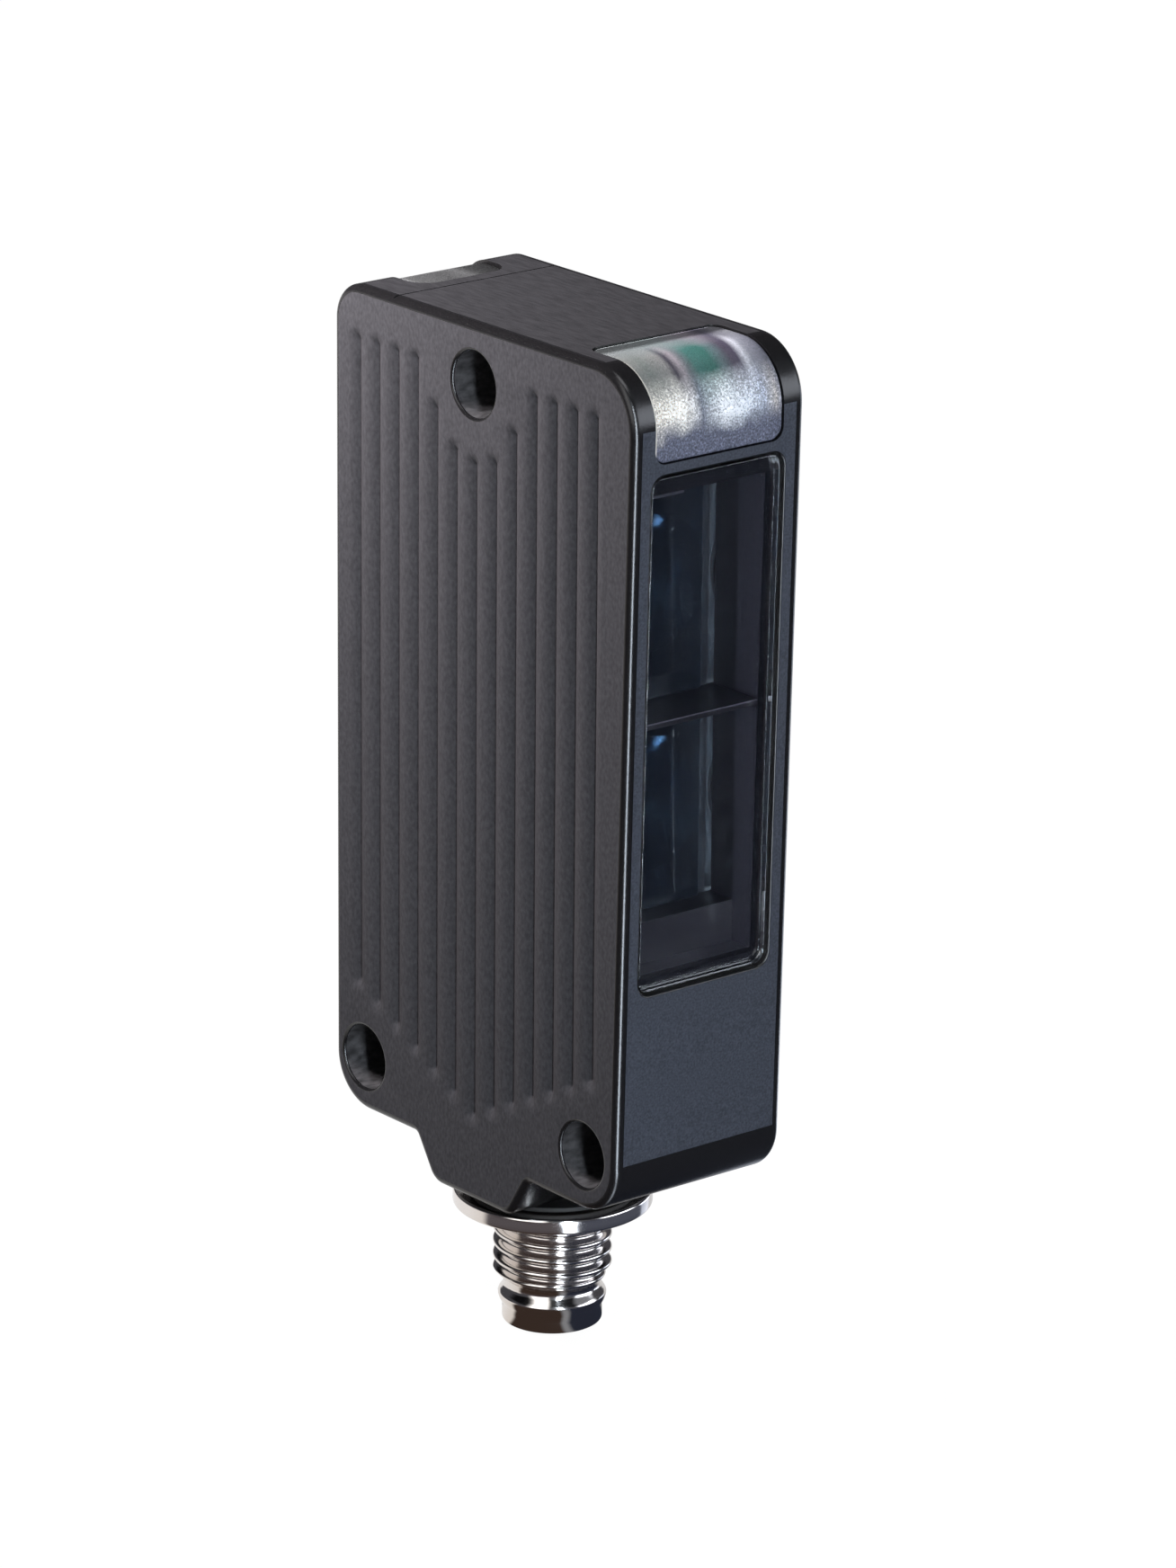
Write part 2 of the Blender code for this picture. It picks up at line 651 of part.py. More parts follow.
# Lenses over the indicator lamps
def make_indicator_lens(finish):
    """The frosted lens that wraps over the top front corner, with a light guide above each lamp."""
    lens = wrap_band("indicator_lens", INDICATOR_SINK, INDICATOR_SINK + LENS_SKIN, True,
                     indicator_rear, indicator_foot, INDICATOR_HALF_WIDTH, INDICATOR_CORNER, finish)
    roof = BODY_HEIGHT - INDICATOR_SINK - LENS_SKIN / 2
    for name, middle in (("power_guide", POWER_LED_X), ("output_guide", OUTPUT_LED_X)):
        guide = box(name, (middle - GUIDE_WIDTH / 2, lamp_y - GUIDE_WIDTH / 2, indicator_led_top + SEAT_GAP),
                    (middle + GUIDE_WIDTH / 2, lamp_y + GUIDE_WIDTH / 2, roof), None)
        boolean(lens, guide, "UNION")
    return lens


def make_pill_lens(finish):
    """The frosted lens over the top back corner."""
    return wrap_band("rear_lens", PILL_SINK, PILL_SINK + LENS_SKIN, False, pill_front, pill_foot,
                     PILL_HALF_WIDTH, PILL_CORNER, finish)


# Circuit boards
def make_boards(board, plastic):
    """The upright optics board, the small board under the indicator lens and the main board."""
    box("optics_board", (-chamber_half, optics_board_front, holder_foot),
        (chamber_half, optics_board_back, board_top), board)
    box("indicator_board", (-holder_half + SEAT_GAP, front_at(holder_top, INDICATOR_BOARD_SETBACK),
                            holder_top + SEAT_GAP),
        (holder_half - SEAT_GAP, optics_board_front - SEAT_GAP, indicator_board_top), board)
    foot = insert_top + BOARD_EDGE_GAP
    shoulder = LOWER_BORE_HEIGHT + boss_radius + BOARD_EDGE_GAP
    step = back_bore[0] - boss_radius - BOARD_EDGE_GAP
    shelf = top_bore[1] - boss_radius - BOARD_EDGE_GAP
    outline = [(main_board_front, foot), (step, foot), (step, shoulder), (main_board_back, shoulder),
               (main_board_back, board_top), (boss_radius + BOARD_EDGE_GAP, board_top),
               (boss_radius + BOARD_EDGE_GAP, shelf), (main_board_front, shelf)]
    slab("main_board", outline, BOARD_THICKNESS / 2, board)
    face = BOARD_THICKNESS / 2 + SEAT_GAP
    box("board_header", (face, optics_board_back + SEAT_GAP, divider_foot - HEADER_LENGTH / 2),
        (face + HEADER_WIDTH, main_board_front + BOARD_STANDOFF, divider_foot + HEADER_LENGTH / 2), plastic,
        round_edges=SEAT_GAP)
    middle = (shoulder + shelf) / 2
    centre = (main_board_front + main_board_back) / 2
    box("controller_ic", (face, centre - CHIP_SIZE / 2, middle - CHIP_SIZE / 2),
        (face + CHIP_HEIGHT, centre + CHIP_SIZE / 2, middle + CHIP_SIZE / 2), plastic, round_edges=SEAT_GAP)
    low = shoulder + DRIVER_LENGTH
    box("output_driver", (face, centre - DRIVER_LENGTH / 2, low),
        (face + CHIP_HEIGHT, centre + DRIVER_LENGTH / 2, low + DRIVER_WIDTH), plastic, round_edges=SEAT_GAP)


def make_lamps(green, yellow, clear, dark):
    """The emitter and receiver on the optics board and the indicator lamps under their lenses."""
    for name, size, low, high, finish in (
            ("receiver_diode", DIODE_SIZE, divider_top, chamber_top, dark),
            ("emitter_led", LED_SIZE, sill, divider_foot, clear)):
        middle = (low + high) / 2
        box(name, (-size / 2, holder_rear - LED_HEIGHT, middle - size / 2),
            (size / 2, holder_rear, middle + size / 2), finish, round_edges=SEAT_GAP)
    for name, middle, finish in (("power_led", POWER_LED_X, green), ("output_led", OUTPUT_LED_X, yellow)):
        box(name, (middle - LED_SIZE / 2, lamp_y - LED_SIZE / 2, indicator_led_top - LED_HEIGHT),
            (middle + LED_SIZE / 2, lamp_y + LED_SIZE / 2, indicator_led_top), finish, round_edges=SEAT_GAP)
    face = BOARD_THICKNESS / 2 + SEAT_GAP
    y = (pill_front + main_board_back) / 2
    z = board_top - LED_SIZE
    box("rear_led", (face, y - LED_SIZE / 2, z), (face + LED_HEIGHT, y + LED_SIZE / 2, z + LED_SIZE), green,
        round_edges=SEAT_GAP)


# Plug
def quarter(radius, height, size, lower):
    """A small rounding at the foot or at the top of a turned rim."""
    if lower:
        return arc((radius - size, height + size), size, 0.0, -math.pi / 2, RIM_STEP)
    return arc((radius - size, height - size), size, math.pi / 2, 0.0, RIM_STEP)


def make_shell(finish):
    """The turned plug body: stem, collar, threaded stretch, snap lip and tip around one stepped bore."""
    profile = [
        (STEM_RADIUS, stem_top),
        (STEM_RADIUS, ring_top),
        *quarter(RING_RADIUS, ring_top, RING_ROUND, False),
        *quarter(RING_RADIUS, ring_foot, RING_ROUND, True),
        (NECK_RADIUS, ring_foot),
        (NECK_RADIUS, ring_foot - THREAD_RELIEF / 2),
        (THREAD_RADIUS, ring_foot - THREAD_RELIEF),
        (THREAD_RADIUS, thread_foot),
        (NECK_RADIUS, neck_top),
        (NECK_RADIUS, neck_foot),
        (LIP_RADIUS, lip_height),
        (TIP_RADIUS, tip_top),
        *quarter(TIP_RADIUS, plug_foot, TIP_ROUND, True),
        (plug_bore, plug_foot),
        (plug_bore, insert_shoulder),
        (insert_bore, insert_shoulder),
        (insert_bore, stem_top),
    ]
    return turned("connector_shell", profile, finish, ring=True)


def make_insert(finish):
    """The plastic pin carrier inside the shell, with a bore for each pin."""
    wide = insert_bore - STEM_GAP
    slim = plug_bore - STEM_GAP
    seat = insert_shoulder + STEM_GAP
    profile = [(0.0, insert_top), (wide, insert_top), (wide, seat), (slim, seat), (slim, insert_face),
               (0.0, insert_face)]
    insert = turned("connector_insert", profile, finish)
    hole = PIN_RADIUS + STEM_GAP / 2
    high, low = insert_top + CUT_MARGIN, insert_face - CUT_MARGIN
    for index, (x, y) in enumerate(pin_places):
        boolean(insert, turned(f"pin_bore_{index + 1}", [(0.0, high), (hole, high), (hole, low), (0.0, low)],
                               None, at=(x, y, 0.0), steps=SMALL_STEPS))
    return insert


pin_places = [(x * PIN_OFFSET, y * PIN_OFFSET) for x, y in ((-1, -1), (1, -1), (1, 1), (-1, 1))]


def make_pin(name, place_xy, finish):
    """A contact pin: rounded tip, thick shaft and a thin solder tail beside the main board."""
    tip = plug_foot + PIN_TIP_DEPTH
    profile = [(0.0, insert_top + PIN_TAIL), (PIN_TAIL_RADIUS, insert_top + PIN_TAIL),
               (PIN_TAIL_RADIUS, insert_top + STEM_GAP), (PIN_RADIUS, insert_top),
               (PIN_RADIUS, tip + PIN_RADIUS / 2), (PIN_RADIUS / 2, tip), (0.0, tip)]
    return turned(name, profile, finish, at=(*place_xy, 0.0), steps=SMALL_STEPS)


def make_plug_seal(finish):
    """The flat rubber ring between the tab and the collar of the plug."""
    gap = PLUG_GAP / 5
    inner = STEM_RADIUS + STEM_GAP
    profile = [(SEAL_RADIUS, -TAB_DROP - gap), (SEAL_RADIUS, ring_top + gap), (inner, ring_top + gap),
               (inner, -TAB_DROP - gap)]
    return turned("connector_seal", profile, finish, ring=True)


# The sensor
moulded_black = material("moulded_black", (0.09, 0.085, 0.085), 0.5)
holder_black = material("holder_black", (0.02, 0.02, 0.022), 0.4)
clear_pane = material("clear_pane", (0.9, 0.92, 0.95), 0.03, transmission=1.0)
frosted = material("frosted_lens", (0.75, 0.78, 0.78), 0.4, transmission=0.7)
film_dark = material("polarising_film", (0.03, 0.04, 0.05), 0.1, transmission=0.6)
glue = material("glue", (0.02, 0.02, 0.02), 0.3)
board_green = material("board_green", (0.02, 0.12, 0.06), 0.5)
chip_black = material("chip_black", (0.02, 0.02, 0.02), 0.5)
lamp_green = material("lamp_green", (0.1, 0.6, 0.35), 0.3)
lamp_yellow = material("lamp_yellow", (0.8, 0.6, 0.1), 0.3)
nickel = material("nickel", (0.72, 0.69, 0.64), 0.22, metallic=1.0)
gold = material("gold_contact", (0.9, 0.7, 0.35), 0.25, metallic=1.0)
rubber = material("black_rubber", (0.015, 0.015, 0.015), 0.7)

make_housing(moulded_black)
make_pane(clear_pane)
make_seal(glue)
make_holder(holder_black)
for chamber_name, _, chamber_ceiling, chamber_floor in chambers:
    make_lens(f"{chamber_name}_lens", chamber_floor, chamber_ceiling, clear_pane)
    make_film(f"{chamber_name}_polarizer", chamber_floor, chamber_ceiling, film_dark)
make_indicator_lens(frosted)
make_pill_lens(frosted)
make_boards(board_green, chip_black)
make_lamps(lamp_green, lamp_yellow, clear_pane, chip_black)
make_shell(nickel)
make_insert(holder_black)
make_plug_seal(rubber)
for number, pin_place in enumerate(pin_places, start=1):
    make_pin(f"pin_{number}", pin_place, gold)
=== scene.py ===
"""Looks of the slim retro-reflective photoelectric sensor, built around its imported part.

Sizes are in millimetres about the centreline of the sensor, as in the part's source: X is the thickness,
-Y the optical front and Z = 0 the lower edge of the moulded body. in_row() turns them into metres in the
row frame.
"""
import math

import bmesh
import bpy
import numpy as np
from mathutils import Matrix, Vector
from mathutils.geometry import delaunay_2d_cdt


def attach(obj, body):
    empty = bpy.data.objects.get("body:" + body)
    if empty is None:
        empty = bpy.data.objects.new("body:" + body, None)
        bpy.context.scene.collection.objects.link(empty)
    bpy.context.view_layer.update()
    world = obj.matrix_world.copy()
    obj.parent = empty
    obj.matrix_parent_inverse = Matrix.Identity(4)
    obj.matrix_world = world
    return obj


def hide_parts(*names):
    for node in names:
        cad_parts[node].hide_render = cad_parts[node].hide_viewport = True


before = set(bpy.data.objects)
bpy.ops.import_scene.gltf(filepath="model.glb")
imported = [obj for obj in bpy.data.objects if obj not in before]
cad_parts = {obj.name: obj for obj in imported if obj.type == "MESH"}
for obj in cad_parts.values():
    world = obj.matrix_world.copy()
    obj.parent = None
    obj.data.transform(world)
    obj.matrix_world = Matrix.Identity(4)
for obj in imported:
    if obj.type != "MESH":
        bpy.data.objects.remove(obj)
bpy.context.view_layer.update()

# Moulded body
HALF = 7.0
HEIGHT = 56.95
BACK = 14.75
FRONT = 14.949
LEAN = 0.0248
EDGE = 0.5
WALL = 1.1
TOP_FRONT_RADIUS = 4.0
TOP_BACK_RADIUS = 2.6
FOOT_RADIUS = 3.5
PANEL_HALF = 6.3
PANEL_FOOT = 3.76
BORE = 2.22
BORE_LIP = 0.2
BOSS = 3.12
BORE_PLACES = ((0.0, 52.9), (11.6, 3.71), (-11.6, 3.71))

# Tab over the plug
TAB_HALF = 5.98
TAB_FOOT_HALF = 4.1
TAB_FOOT = -2.95
TAB_CORNER = 1.5

# Grip grooves in the sides
PITCH = 2.046
GROOVES = 6
GROOVE_DEPTH = 0.40
GROOVE_POWER = 2.0
GROOVE_TOP = 54.3
GROOVE_FOOT = 2.1
GROOVE_FOOT_RISE = 0.994
GROOVE_BLUNT = 0.03
GROOVE_SHARES = np.array((0.04, 0.09, 0.17, 0.28, 0.42, 0.6, 0.8, 1.0))
LAND = 4.35

# Window, lenses and seam
WINDOW_HALF = 5.45
WINDOW_FOOT = 15.2
WINDOW_TOP = 50.05
WINDOW_CORNER = 1.0
PANE_GAP = 0.2
PANE_SINK = 0.2
PANE_THICK = 0.9
LENS_HALF = 5.2
LENS_REAR = -9.36
LENS_FOOT = 50.95
LENS_CORNER = 0.9
LENS_SINK = 0.1
LENS_SKIN = 0.9
PILL_HALF = 3.7
PILL_FRONT = 9.7
PILL_FOOT = 52.15
PILL_CORNER = 1.6
PILL_SINK = 0.18
GAP = 0.06
SEAM = 8.5
SEAM_HALF = 0.06
SEAM_FLOOR = 56.8
SEAM_OVER = 58.0
WINDOW_LIP = 0.12
PANE_EDGE = 0.08
LENS_EDGE = 0.12
PILL_EDGE = 0.15

# Half width, edge on the roof, foot, corner radius and whether the front corner carries it
FRONT_LENS = (LENS_HALF, LENS_REAR, LENS_FOOT, LENS_CORNER, True)
REAR_LENS = (PILL_HALF, PILL_FRONT, PILL_FOOT, PILL_CORNER, False)

# Plug
COLLAR_TOP = -3.5
COLLAR_FOOT = -4.6
COLLAR = 6.7
THREAD = 4.0
THREAD_FOOT = -9.3
THREAD_PITCH = 1.0
THREAD_CUT = 0.55
THREAD_POWER = 1.4
THREAD_START = 0.3
THREAD_RUNOUT = 0.9
NECK = 3.22
PLUG_FOOT = -13.0
TIP = 3.36
BORE_PLUG = 2.68
BORE_STEM = 2.98
STEM = 3.6
STEM_TOP = 0.1
STEM_HOLE = 3.72
STEM_HOLE_TOP = 2.0
STEM_HOLE_FOOT = -4.0
SHOULDER = -4.05
PLUG_EDGE = 0.2
SNAP_LIP = ((NECK, -10.2), (NECK, -10.45), (3.32, -10.62), (3.50, -10.85), (3.60, -11.0), (3.64, -11.1),
            (3.63, -11.25), (3.55, -11.5), (3.45, -11.7), (TIP, -11.85), (TIP, -12.2))

# A cutting block reaches PAST beyond the skin. A face lies on a surface within NEAR of it, and looks a way if
# its direction has more than FACING of that way.
PAST = 1.0
NEAR = 0.02
FACING = 0.999

# Numbers of the housing's finishes
SIDE, ROUND, PANEL, ROOF, BORE_WALL = range(5)

SLOPE = math.atan(LEAN)
ROW_SHIFT = np.array((0.0, 0.755965, 13.0))


def in_row(points):
    """Millimetres about the sensor's centreline to metres in the row frame."""
    return (np.asarray(points, float) + ROW_SHIFT) * 0.001


def front_at(height, depth=0.0):
    """Y of the leaning front at a height, moved inwards by a depth."""
    return depth / math.cos(SLOPE) - FRONT - LEAN * height


# Meshes
def ring_faces(rows, columns):
    """Four-cornered faces of a grid numbered row by row, whose last column is a neighbour of its first."""
    row = np.arange(rows - 1)[:, None] * columns
    column = np.arange(columns)[None, :]
    beside = (column + 1) % columns
    corners = [row + column, row + beside, row + columns + beside, row + columns + column]
    return np.stack(corners, axis=-1).reshape(-1, 4)


def mesh_of(name, points, faces, finish_numbers=None):
    """Points and faces as a mesh whose faces point outwards, with points closer than half a micron welded."""
    weld = 0.0005 * 0.001
    mesh = bpy.data.meshes.new(name)
    mesh.from_pydata(in_row(points).tolist(), [], [list(f) for f in faces])
    if finish_numbers is not None:
        mesh.polygons.foreach_set("material_index", np.asarray(finish_numbers, np.int32))
    shape = bmesh.new()
    shape.from_mesh(mesh)
    bmesh.ops.remove_doubles(shape, verts=shape.verts, dist=weld)
    bmesh.ops.dissolve_degenerate(shape, edges=shape.edges, dist=weld)
    bmesh.ops.recalc_face_normals(shape, faces=shape.faces)
    shape.to_mesh(mesh)
    shape.free()
    return mesh


def points_of(mesh):
    """The points of a mesh in millimetres about the sensor's centreline."""
    points = np.zeros(len(mesh.vertices) * 3)
    mesh.vertices.foreach_get("co", points)
    return points.reshape(-1, 3) * 1000 - ROW_SHIFT


def piece(name, mesh, finishes, stands_for, sharp=35):
    """An object of the sensor with its finishes, which rides on the body and stands for a node of the part.

    Only a list of finishes that has something in it is emptied, because emptying also forgets which face has
    which finish.
    """
    thing = bpy.data.objects.new(name, mesh)
    bpy.context.scene.collection.objects.link(thing)
    if mesh.materials:
        mesh.materials.clear()
    for finish in finishes if isinstance(finishes, (list, tuple)) else [finishes]:
        mesh.materials.append(finish)
    mesh.shade_smooth()
    mesh.set_sharp_from_angle(angle=math.radians(sharp))
    even = thing.modifiers.new("even_shading", "WEIGHTED_NORMAL")
    even.keep_sharp = True
    even.weight = 100
    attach(thing, "root")
    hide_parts(stands_for)
    return thing


def unit(arrow):
    """The arrow at length 1."""
    return arrow / np.linalg.norm(arrow)


def fillets(corners, step=4.0):
    """A closed outline through (y, z, radius) corners, counterclockwise, and its outward directions.

    A corner gives centre + radius (cos a, sin a), with a between its two tangent points in equal steps. The
    outward direction is (cos a, sin a), or its opposite where the outline bends inwards.
    """
    places = np.array([c[:2] for c in corners], float)
    points, outward = [], []
    for i, (_, _, radius) in enumerate(corners):
        before = unit(places[i - 1] - places[i])
        after = unit(places[(i + 1) % len(corners)] - places[i])
        if radius <= 0:
            along = unit(after - before)
            points.append(places[i][None])
            outward.append(np.array([[along[1], -along[0]]]))
            continue
        half = math.acos(float(np.clip(before @ after, -1, 1))) / 2
        centre = places[i] + unit(before + after) * radius / math.sin(half)
        first = places[i] + before * radius / math.tan(half) - centre
        last = places[i] + after * radius / math.tan(half) - centre
        start = math.atan2(first[1], first[0])
        sweep = (math.atan2(last[1], last[0]) - start + math.pi) % (2 * math.pi) - math.pi
        turns = start + sweep * np.linspace(0, 1, max(2, math.ceil(abs(math.degrees(sweep)) / step) + 1))
        arms = np.stack([np.cos(turns), np.sin(turns)], axis=1)
        points.append(centre + radius * arms)
        outward.append(arms * math.copysign(1, sweep))
    return np.concatenate(points), np.concatenate(outward)


def rounded_rectangle(low_x, high_x, low_y, high_y, radius, step=9.0):
    """A rectangle with round corners and its outward directions, by fillets()."""
    return fillets([(low_x, low_y, radius), (high_x, low_y, radius), (high_x, high_y, radius),
                    (low_x, high_y, radius)], step)


def lofted(rows):
    """A closed shape through rings of the same count of points, its first and last ring filled."""
    rings = np.stack(rows)
    count, around = rings.shape[:2]
    faces = ring_faces(count, around).tolist()
    faces.append(list(range(around))[::-1])
    faces.append([(count - 1) * around + i for i in range(around)])
    return rings.reshape(-1, 3), faces


def turned(profile, steps):
    """A closed (radius, height) profile carried round the Z axis: x = r cos a, y = r sin a."""
    profile = np.array(profile, float)
    turn = np.linspace(0, 2 * math.pi, steps, endpoint=False)[:, None]
    x, y = profile[:, 0] * np.cos(turn), profile[:, 0] * np.sin(turn)
    points = np.stack([x, y, np.broadcast_to(profile[:, 1], x.shape)], axis=-1)
    ring = np.concatenate([points, points[:1]])
    faces = ring_faces(steps + 1, len(profile))
    return ring.reshape(-1, 3), faces


# Moulded housing
def body_outline():
    """Side view of the body and its tab as (y, z) points with outward directions."""
    return fillets([
        (front_at(0.0), 0.0, FOOT_RADIUS), (-TAB_HALF, 0.0, EDGE), (-TAB_FOOT_HALF, TAB_FOOT, TAB_CORNER),
        (TAB_FOOT_HALF, TAB_FOOT, TAB_CORNER), (TAB_HALF, 0.0, EDGE), (BACK, 0.0, FOOT_RADIUS),
        (BACK, PANEL_FOOT, 0), (BACK, HEIGHT, TOP_BACK_RADIUS), (front_at(HEIGHT), HEIGHT, TOP_FRONT_RADIUS),
        (front_at(PANEL_FOOT), PANEL_FOOT, 0)])


def body_block():
    """The outline carried across the thickness, drawn in by a quarter round of EDGE at both sides."""
    outline, outward = body_outline()
    turn = np.linspace(0, math.pi / 2, 9)
    reach, inset = EDGE * np.sin(turn), EDGE * (1 - np.cos(turn))
    across = np.concatenate([-(HALF - EDGE) - reach[::-1], [-PANEL_HALF, PANEL_HALF], HALF - EDGE + reach])
    drawn_in = np.concatenate([inset[::-1], [0.0, 0.0], inset])
    rows = []
    for x, shrink in zip(across, drawn_in):
        flat = outline - outward * shrink
        rows.append(np.column_stack([np.full(len(flat), x), flat]))
    return lofted(rows)


def cavity_block():
    """The hollow: the outline one wall further in, straight across."""
    roof = HEIGHT - WALL
    outline, _ = fillets([
        (front_at(WALL, WALL), WALL, FOOT_RADIUS - WALL), (BACK - WALL, WALL, FOOT_RADIUS - WALL),
        (BACK - WALL, roof, TOP_BACK_RADIUS - WALL),
        (front_at(roof, WALL), roof, TOP_FRONT_RADIUS - WALL)], step=8.0)
    half = HALF - WALL
    return lofted([np.column_stack([np.full(len(outline), x), outline]) for x in (-half, half)])


def rod_across(place, radii, across, steps=72):
    """A rod along X about a point of the side view, with its own radius at each place across."""
    turn = np.linspace(0, 2 * math.pi, steps, endpoint=False)
    rows = [np.column_stack([np.full(steps, x), place[0] + r * np.cos(turn), place[1] + r * np.sin(turn)])
            for x, r in zip(across, radii)]
    return lofted(rows)


def bore_rod(place):
    """A through bore whose mouths flare with a small round lip."""
    turn = np.linspace(0, math.pi / 2, 6)
    x = HALF - BORE_LIP + BORE_LIP * np.sin(turn)
    r = BORE + BORE_LIP * (1 - np.cos(turn))
    x = np.append(x, HALF + PAST)
    r = np.append(r, BORE + BORE_LIP)
    return rod_across(place, np.concatenate([r[::-1], r]), np.concatenate([-x[::-1], x]))


def window_block():
    """The window opening: a rounded rectangle through the leaning front wall, with a small round lip."""
    outline, outward = rounded_rectangle(-WINDOW_HALF, WINDOW_HALF, WINDOW_FOOT, WINDOW_TOP, WINDOW_CORNER)
    turn = np.linspace(0, math.pi / 2, 5)
    depths = np.concatenate([[-PAST], WINDOW_LIP * (1 - np.sin(turn[::-1])), [WALL + PAST]])
    flares = np.concatenate([[WINDOW_LIP], WINDOW_LIP * (1 - np.cos(turn[::-1])), [0.0]])
    rows = []
    for depth, flare in zip(depths, flares):
        flat = outline + outward * flare
        rows.append(on_front(flat[:, 0], flat[:, 1], depth))
    return lofted(rows)


def on_front(x, along, depth):
    """Points on the leaning front: x across, along it upwards from Z = 0, and a depth behind it."""
    x, along, depth = np.broadcast_arrays(np.asarray(x, float), along, depth)
    c, s = math.cos(SLOPE), math.sin(SLOPE)
    return np.stack([x, -FRONT + depth * c - along * s, depth * s + along * c], axis=-1)


def over_corner(run, x, inset, front):
    """Points on the body's skin over a top corner.

    run is measured along the skin from where the corner starts on the roof: below 0 it lies on the roof, then
    on the round of the corner as an angle run / radius, then on the face below it. inset is the depth.
    """
    run, x, inset = np.broadcast_arrays(run, x, inset)
    radius = TOP_FRONT_RADIUS if front else TOP_BACK_RADIUS
    side, sweep = (-1, math.pi / 2 + SLOPE) if front else (1, math.pi / 2)
    height = HEIGHT - radius
    centre = front_at(height, radius) if front else BACK - radius
    turn = np.clip(run / radius, 0, sweep)
    past = np.maximum(run - radius * sweep, 0)
    before = np.minimum(run, 0)
    y = centre + side * ((radius - inset) * np.sin(turn) + before + past * math.cos(sweep))
    z = height + (radius - inset) * np.cos(turn) - past * math.sin(sweep)
    return np.stack([x, y, z], axis=-1)


def corner_lens(half, start, foot, corner, front, grow, insets, edge, rings=26):
    """A plate bent over a top corner, as rings about its middle.

    The rings are a rounded rectangle in the unrolled skin, scaled from its middle to its rim. It reaches from
    start on the roof down to foot and is widened by grow all round. insets are the depths of its outer and
    inner skin, and edge is the quarter round between the outer skin and the wall.
    """
    radius = TOP_FRONT_RADIUS if front else TOP_BACK_RADIUS
    height = HEIGHT - radius
    centre = front_at(height, radius) if front else BACK - radius
    sweep = math.pi / 2 + (SLOPE if front else 0.0)
    first = -abs(centre - start) - grow
    last = radius * sweep + (height - foot) / math.sin(sweep) + grow
    outline, outward = rounded_rectangle(first, last, -half - grow, half + grow, corner, step=4.0)
    outline, outward = refine(outline, outward, longest=0.35)
    middle = np.array(((first + last) / 2, 0.0))
    smallest = 0.02
    outer, inner = insets
    rows = []
    rim = outline - outward * edge
    for share in np.linspace(smallest, 1, rings):
        flat = middle + (rim - middle) * share
        rows.append(over_corner(flat[:, 0], flat[:, 1], outer, front))
    if edge:
        for turn in np.linspace(0, math.pi / 2, 6)[1:]:
            flat = outline - outward * edge * (1 - math.sin(turn))
            rows.append(over_corner(flat[:, 0], flat[:, 1], outer + edge * (1 - math.cos(turn)), front))
    for share in np.linspace(1, smallest, rings):
        flat = middle + (outline - middle) * share
        rows.append(over_corner(flat[:, 0], flat[:, 1], inner, front))
    return lofted(rows)


def refine(outline, outward, longest):
    """The same closed outline with more points where two neighbours are further apart than longest."""
    after, after_out = np.roll(outline, -1, axis=0), np.roll(outward, -1, axis=0)
    gap = np.linalg.norm(after - outline, axis=1)
    counts = np.maximum(np.ceil(gap / longest).astype(int), 1)
    which = np.repeat(np.arange(len(outline)), counts)
    share = np.concatenate([np.arange(c) / c for c in counts])[:, None]
    points = outline[which] * (1 - share) + after[which] * share
    leads = outward[which] * (1 - share) + after_out[which] * share
    return points, leads / np.linalg.norm(leads, axis=1, keepdims=True)


def groove_ends(step):
    """Foot and top of a groove, counted from the middle. A round land stops those under the bore."""
    offset = step * PITCH
    top = BORE_PLACES[0][1] - math.sqrt(LAND ** 2 - offset ** 2) if abs(offset) < LAND else GROOVE_TOP
    return GROOVE_FOOT + GROOVE_FOOT_RISE * abs(step), top


def groove_depth(y, z):
    """Depth of the grip grooves: D (1 - r / w) to a power, so that round ridges meet in narrow valleys.

    w is half the pitch. r is the distance from the groove's line, slightly blunted at the bottom, or from its
    end points beyond them.
    """
    half = PITCH / 2
    depth = np.zeros_like(y)
    for step in range(-GROOVES, GROOVES + 1):
        low, high = groove_ends(step)
        beyond = np.maximum(np.maximum(z - (high - half), low + half - z), 0)
        reach = np.clip(np.sqrt((y - step * PITCH) ** 2 + beyond ** 2 + GROOVE_BLUNT ** 2) / half, 0, 1)
        depth += GROOVE_DEPTH * (1 - reach) ** GROOVE_POWER
    return depth


def groove_lattice():
    """Points across and along each groove with the edges along it, closer together at its ends and bottom."""
    points, edges, used = [], [], 0
    levels = np.arange(8.0, 50.0, 2.0)
    clear = 2
    share = np.concatenate([-GROOVE_SHARES[::-1], [0.0], GROOVE_SHARES[:-1]])
    ends = np.linspace(0, 1.6, 16)
    for step in range(-GROOVES, GROOVES + 1):
        low, high = groove_ends(step)
        between = levels[(levels > low + clear) & (levels < high - clear)]
        z = np.concatenate([low + ends, between, high - ends[::-1]])
        y = step * PITCH + share * PITCH / 2
        across, along = np.meshgrid(y, z, indexing="ij")
        points.append(np.column_stack([across.ravel(), along.ravel()]))
        first = used + (np.arange(len(y))[:, None] * len(z) + np.arange(len(z) - 1)).ravel()
        edges.append(np.column_stack([first, first + 1]))
        used += across.size
    return np.concatenate(points), np.concatenate(edges)


def cutting_block(name, points, faces):
    """A cutting block that takes part in no picture."""
    block = bpy.data.objects.new(name, mesh_of(name, points, faces))
    bpy.context.scene.collection.objects.link(block)
    block.hide_render = True
    return block


def cut(thing, block):
    """Takes a block out of a thing."""
    change = thing.modifiers.new(block.name, "BOOLEAN")
    change.operation = "DIFFERENCE"
    change.solver = "EXACT"
    change.object = block


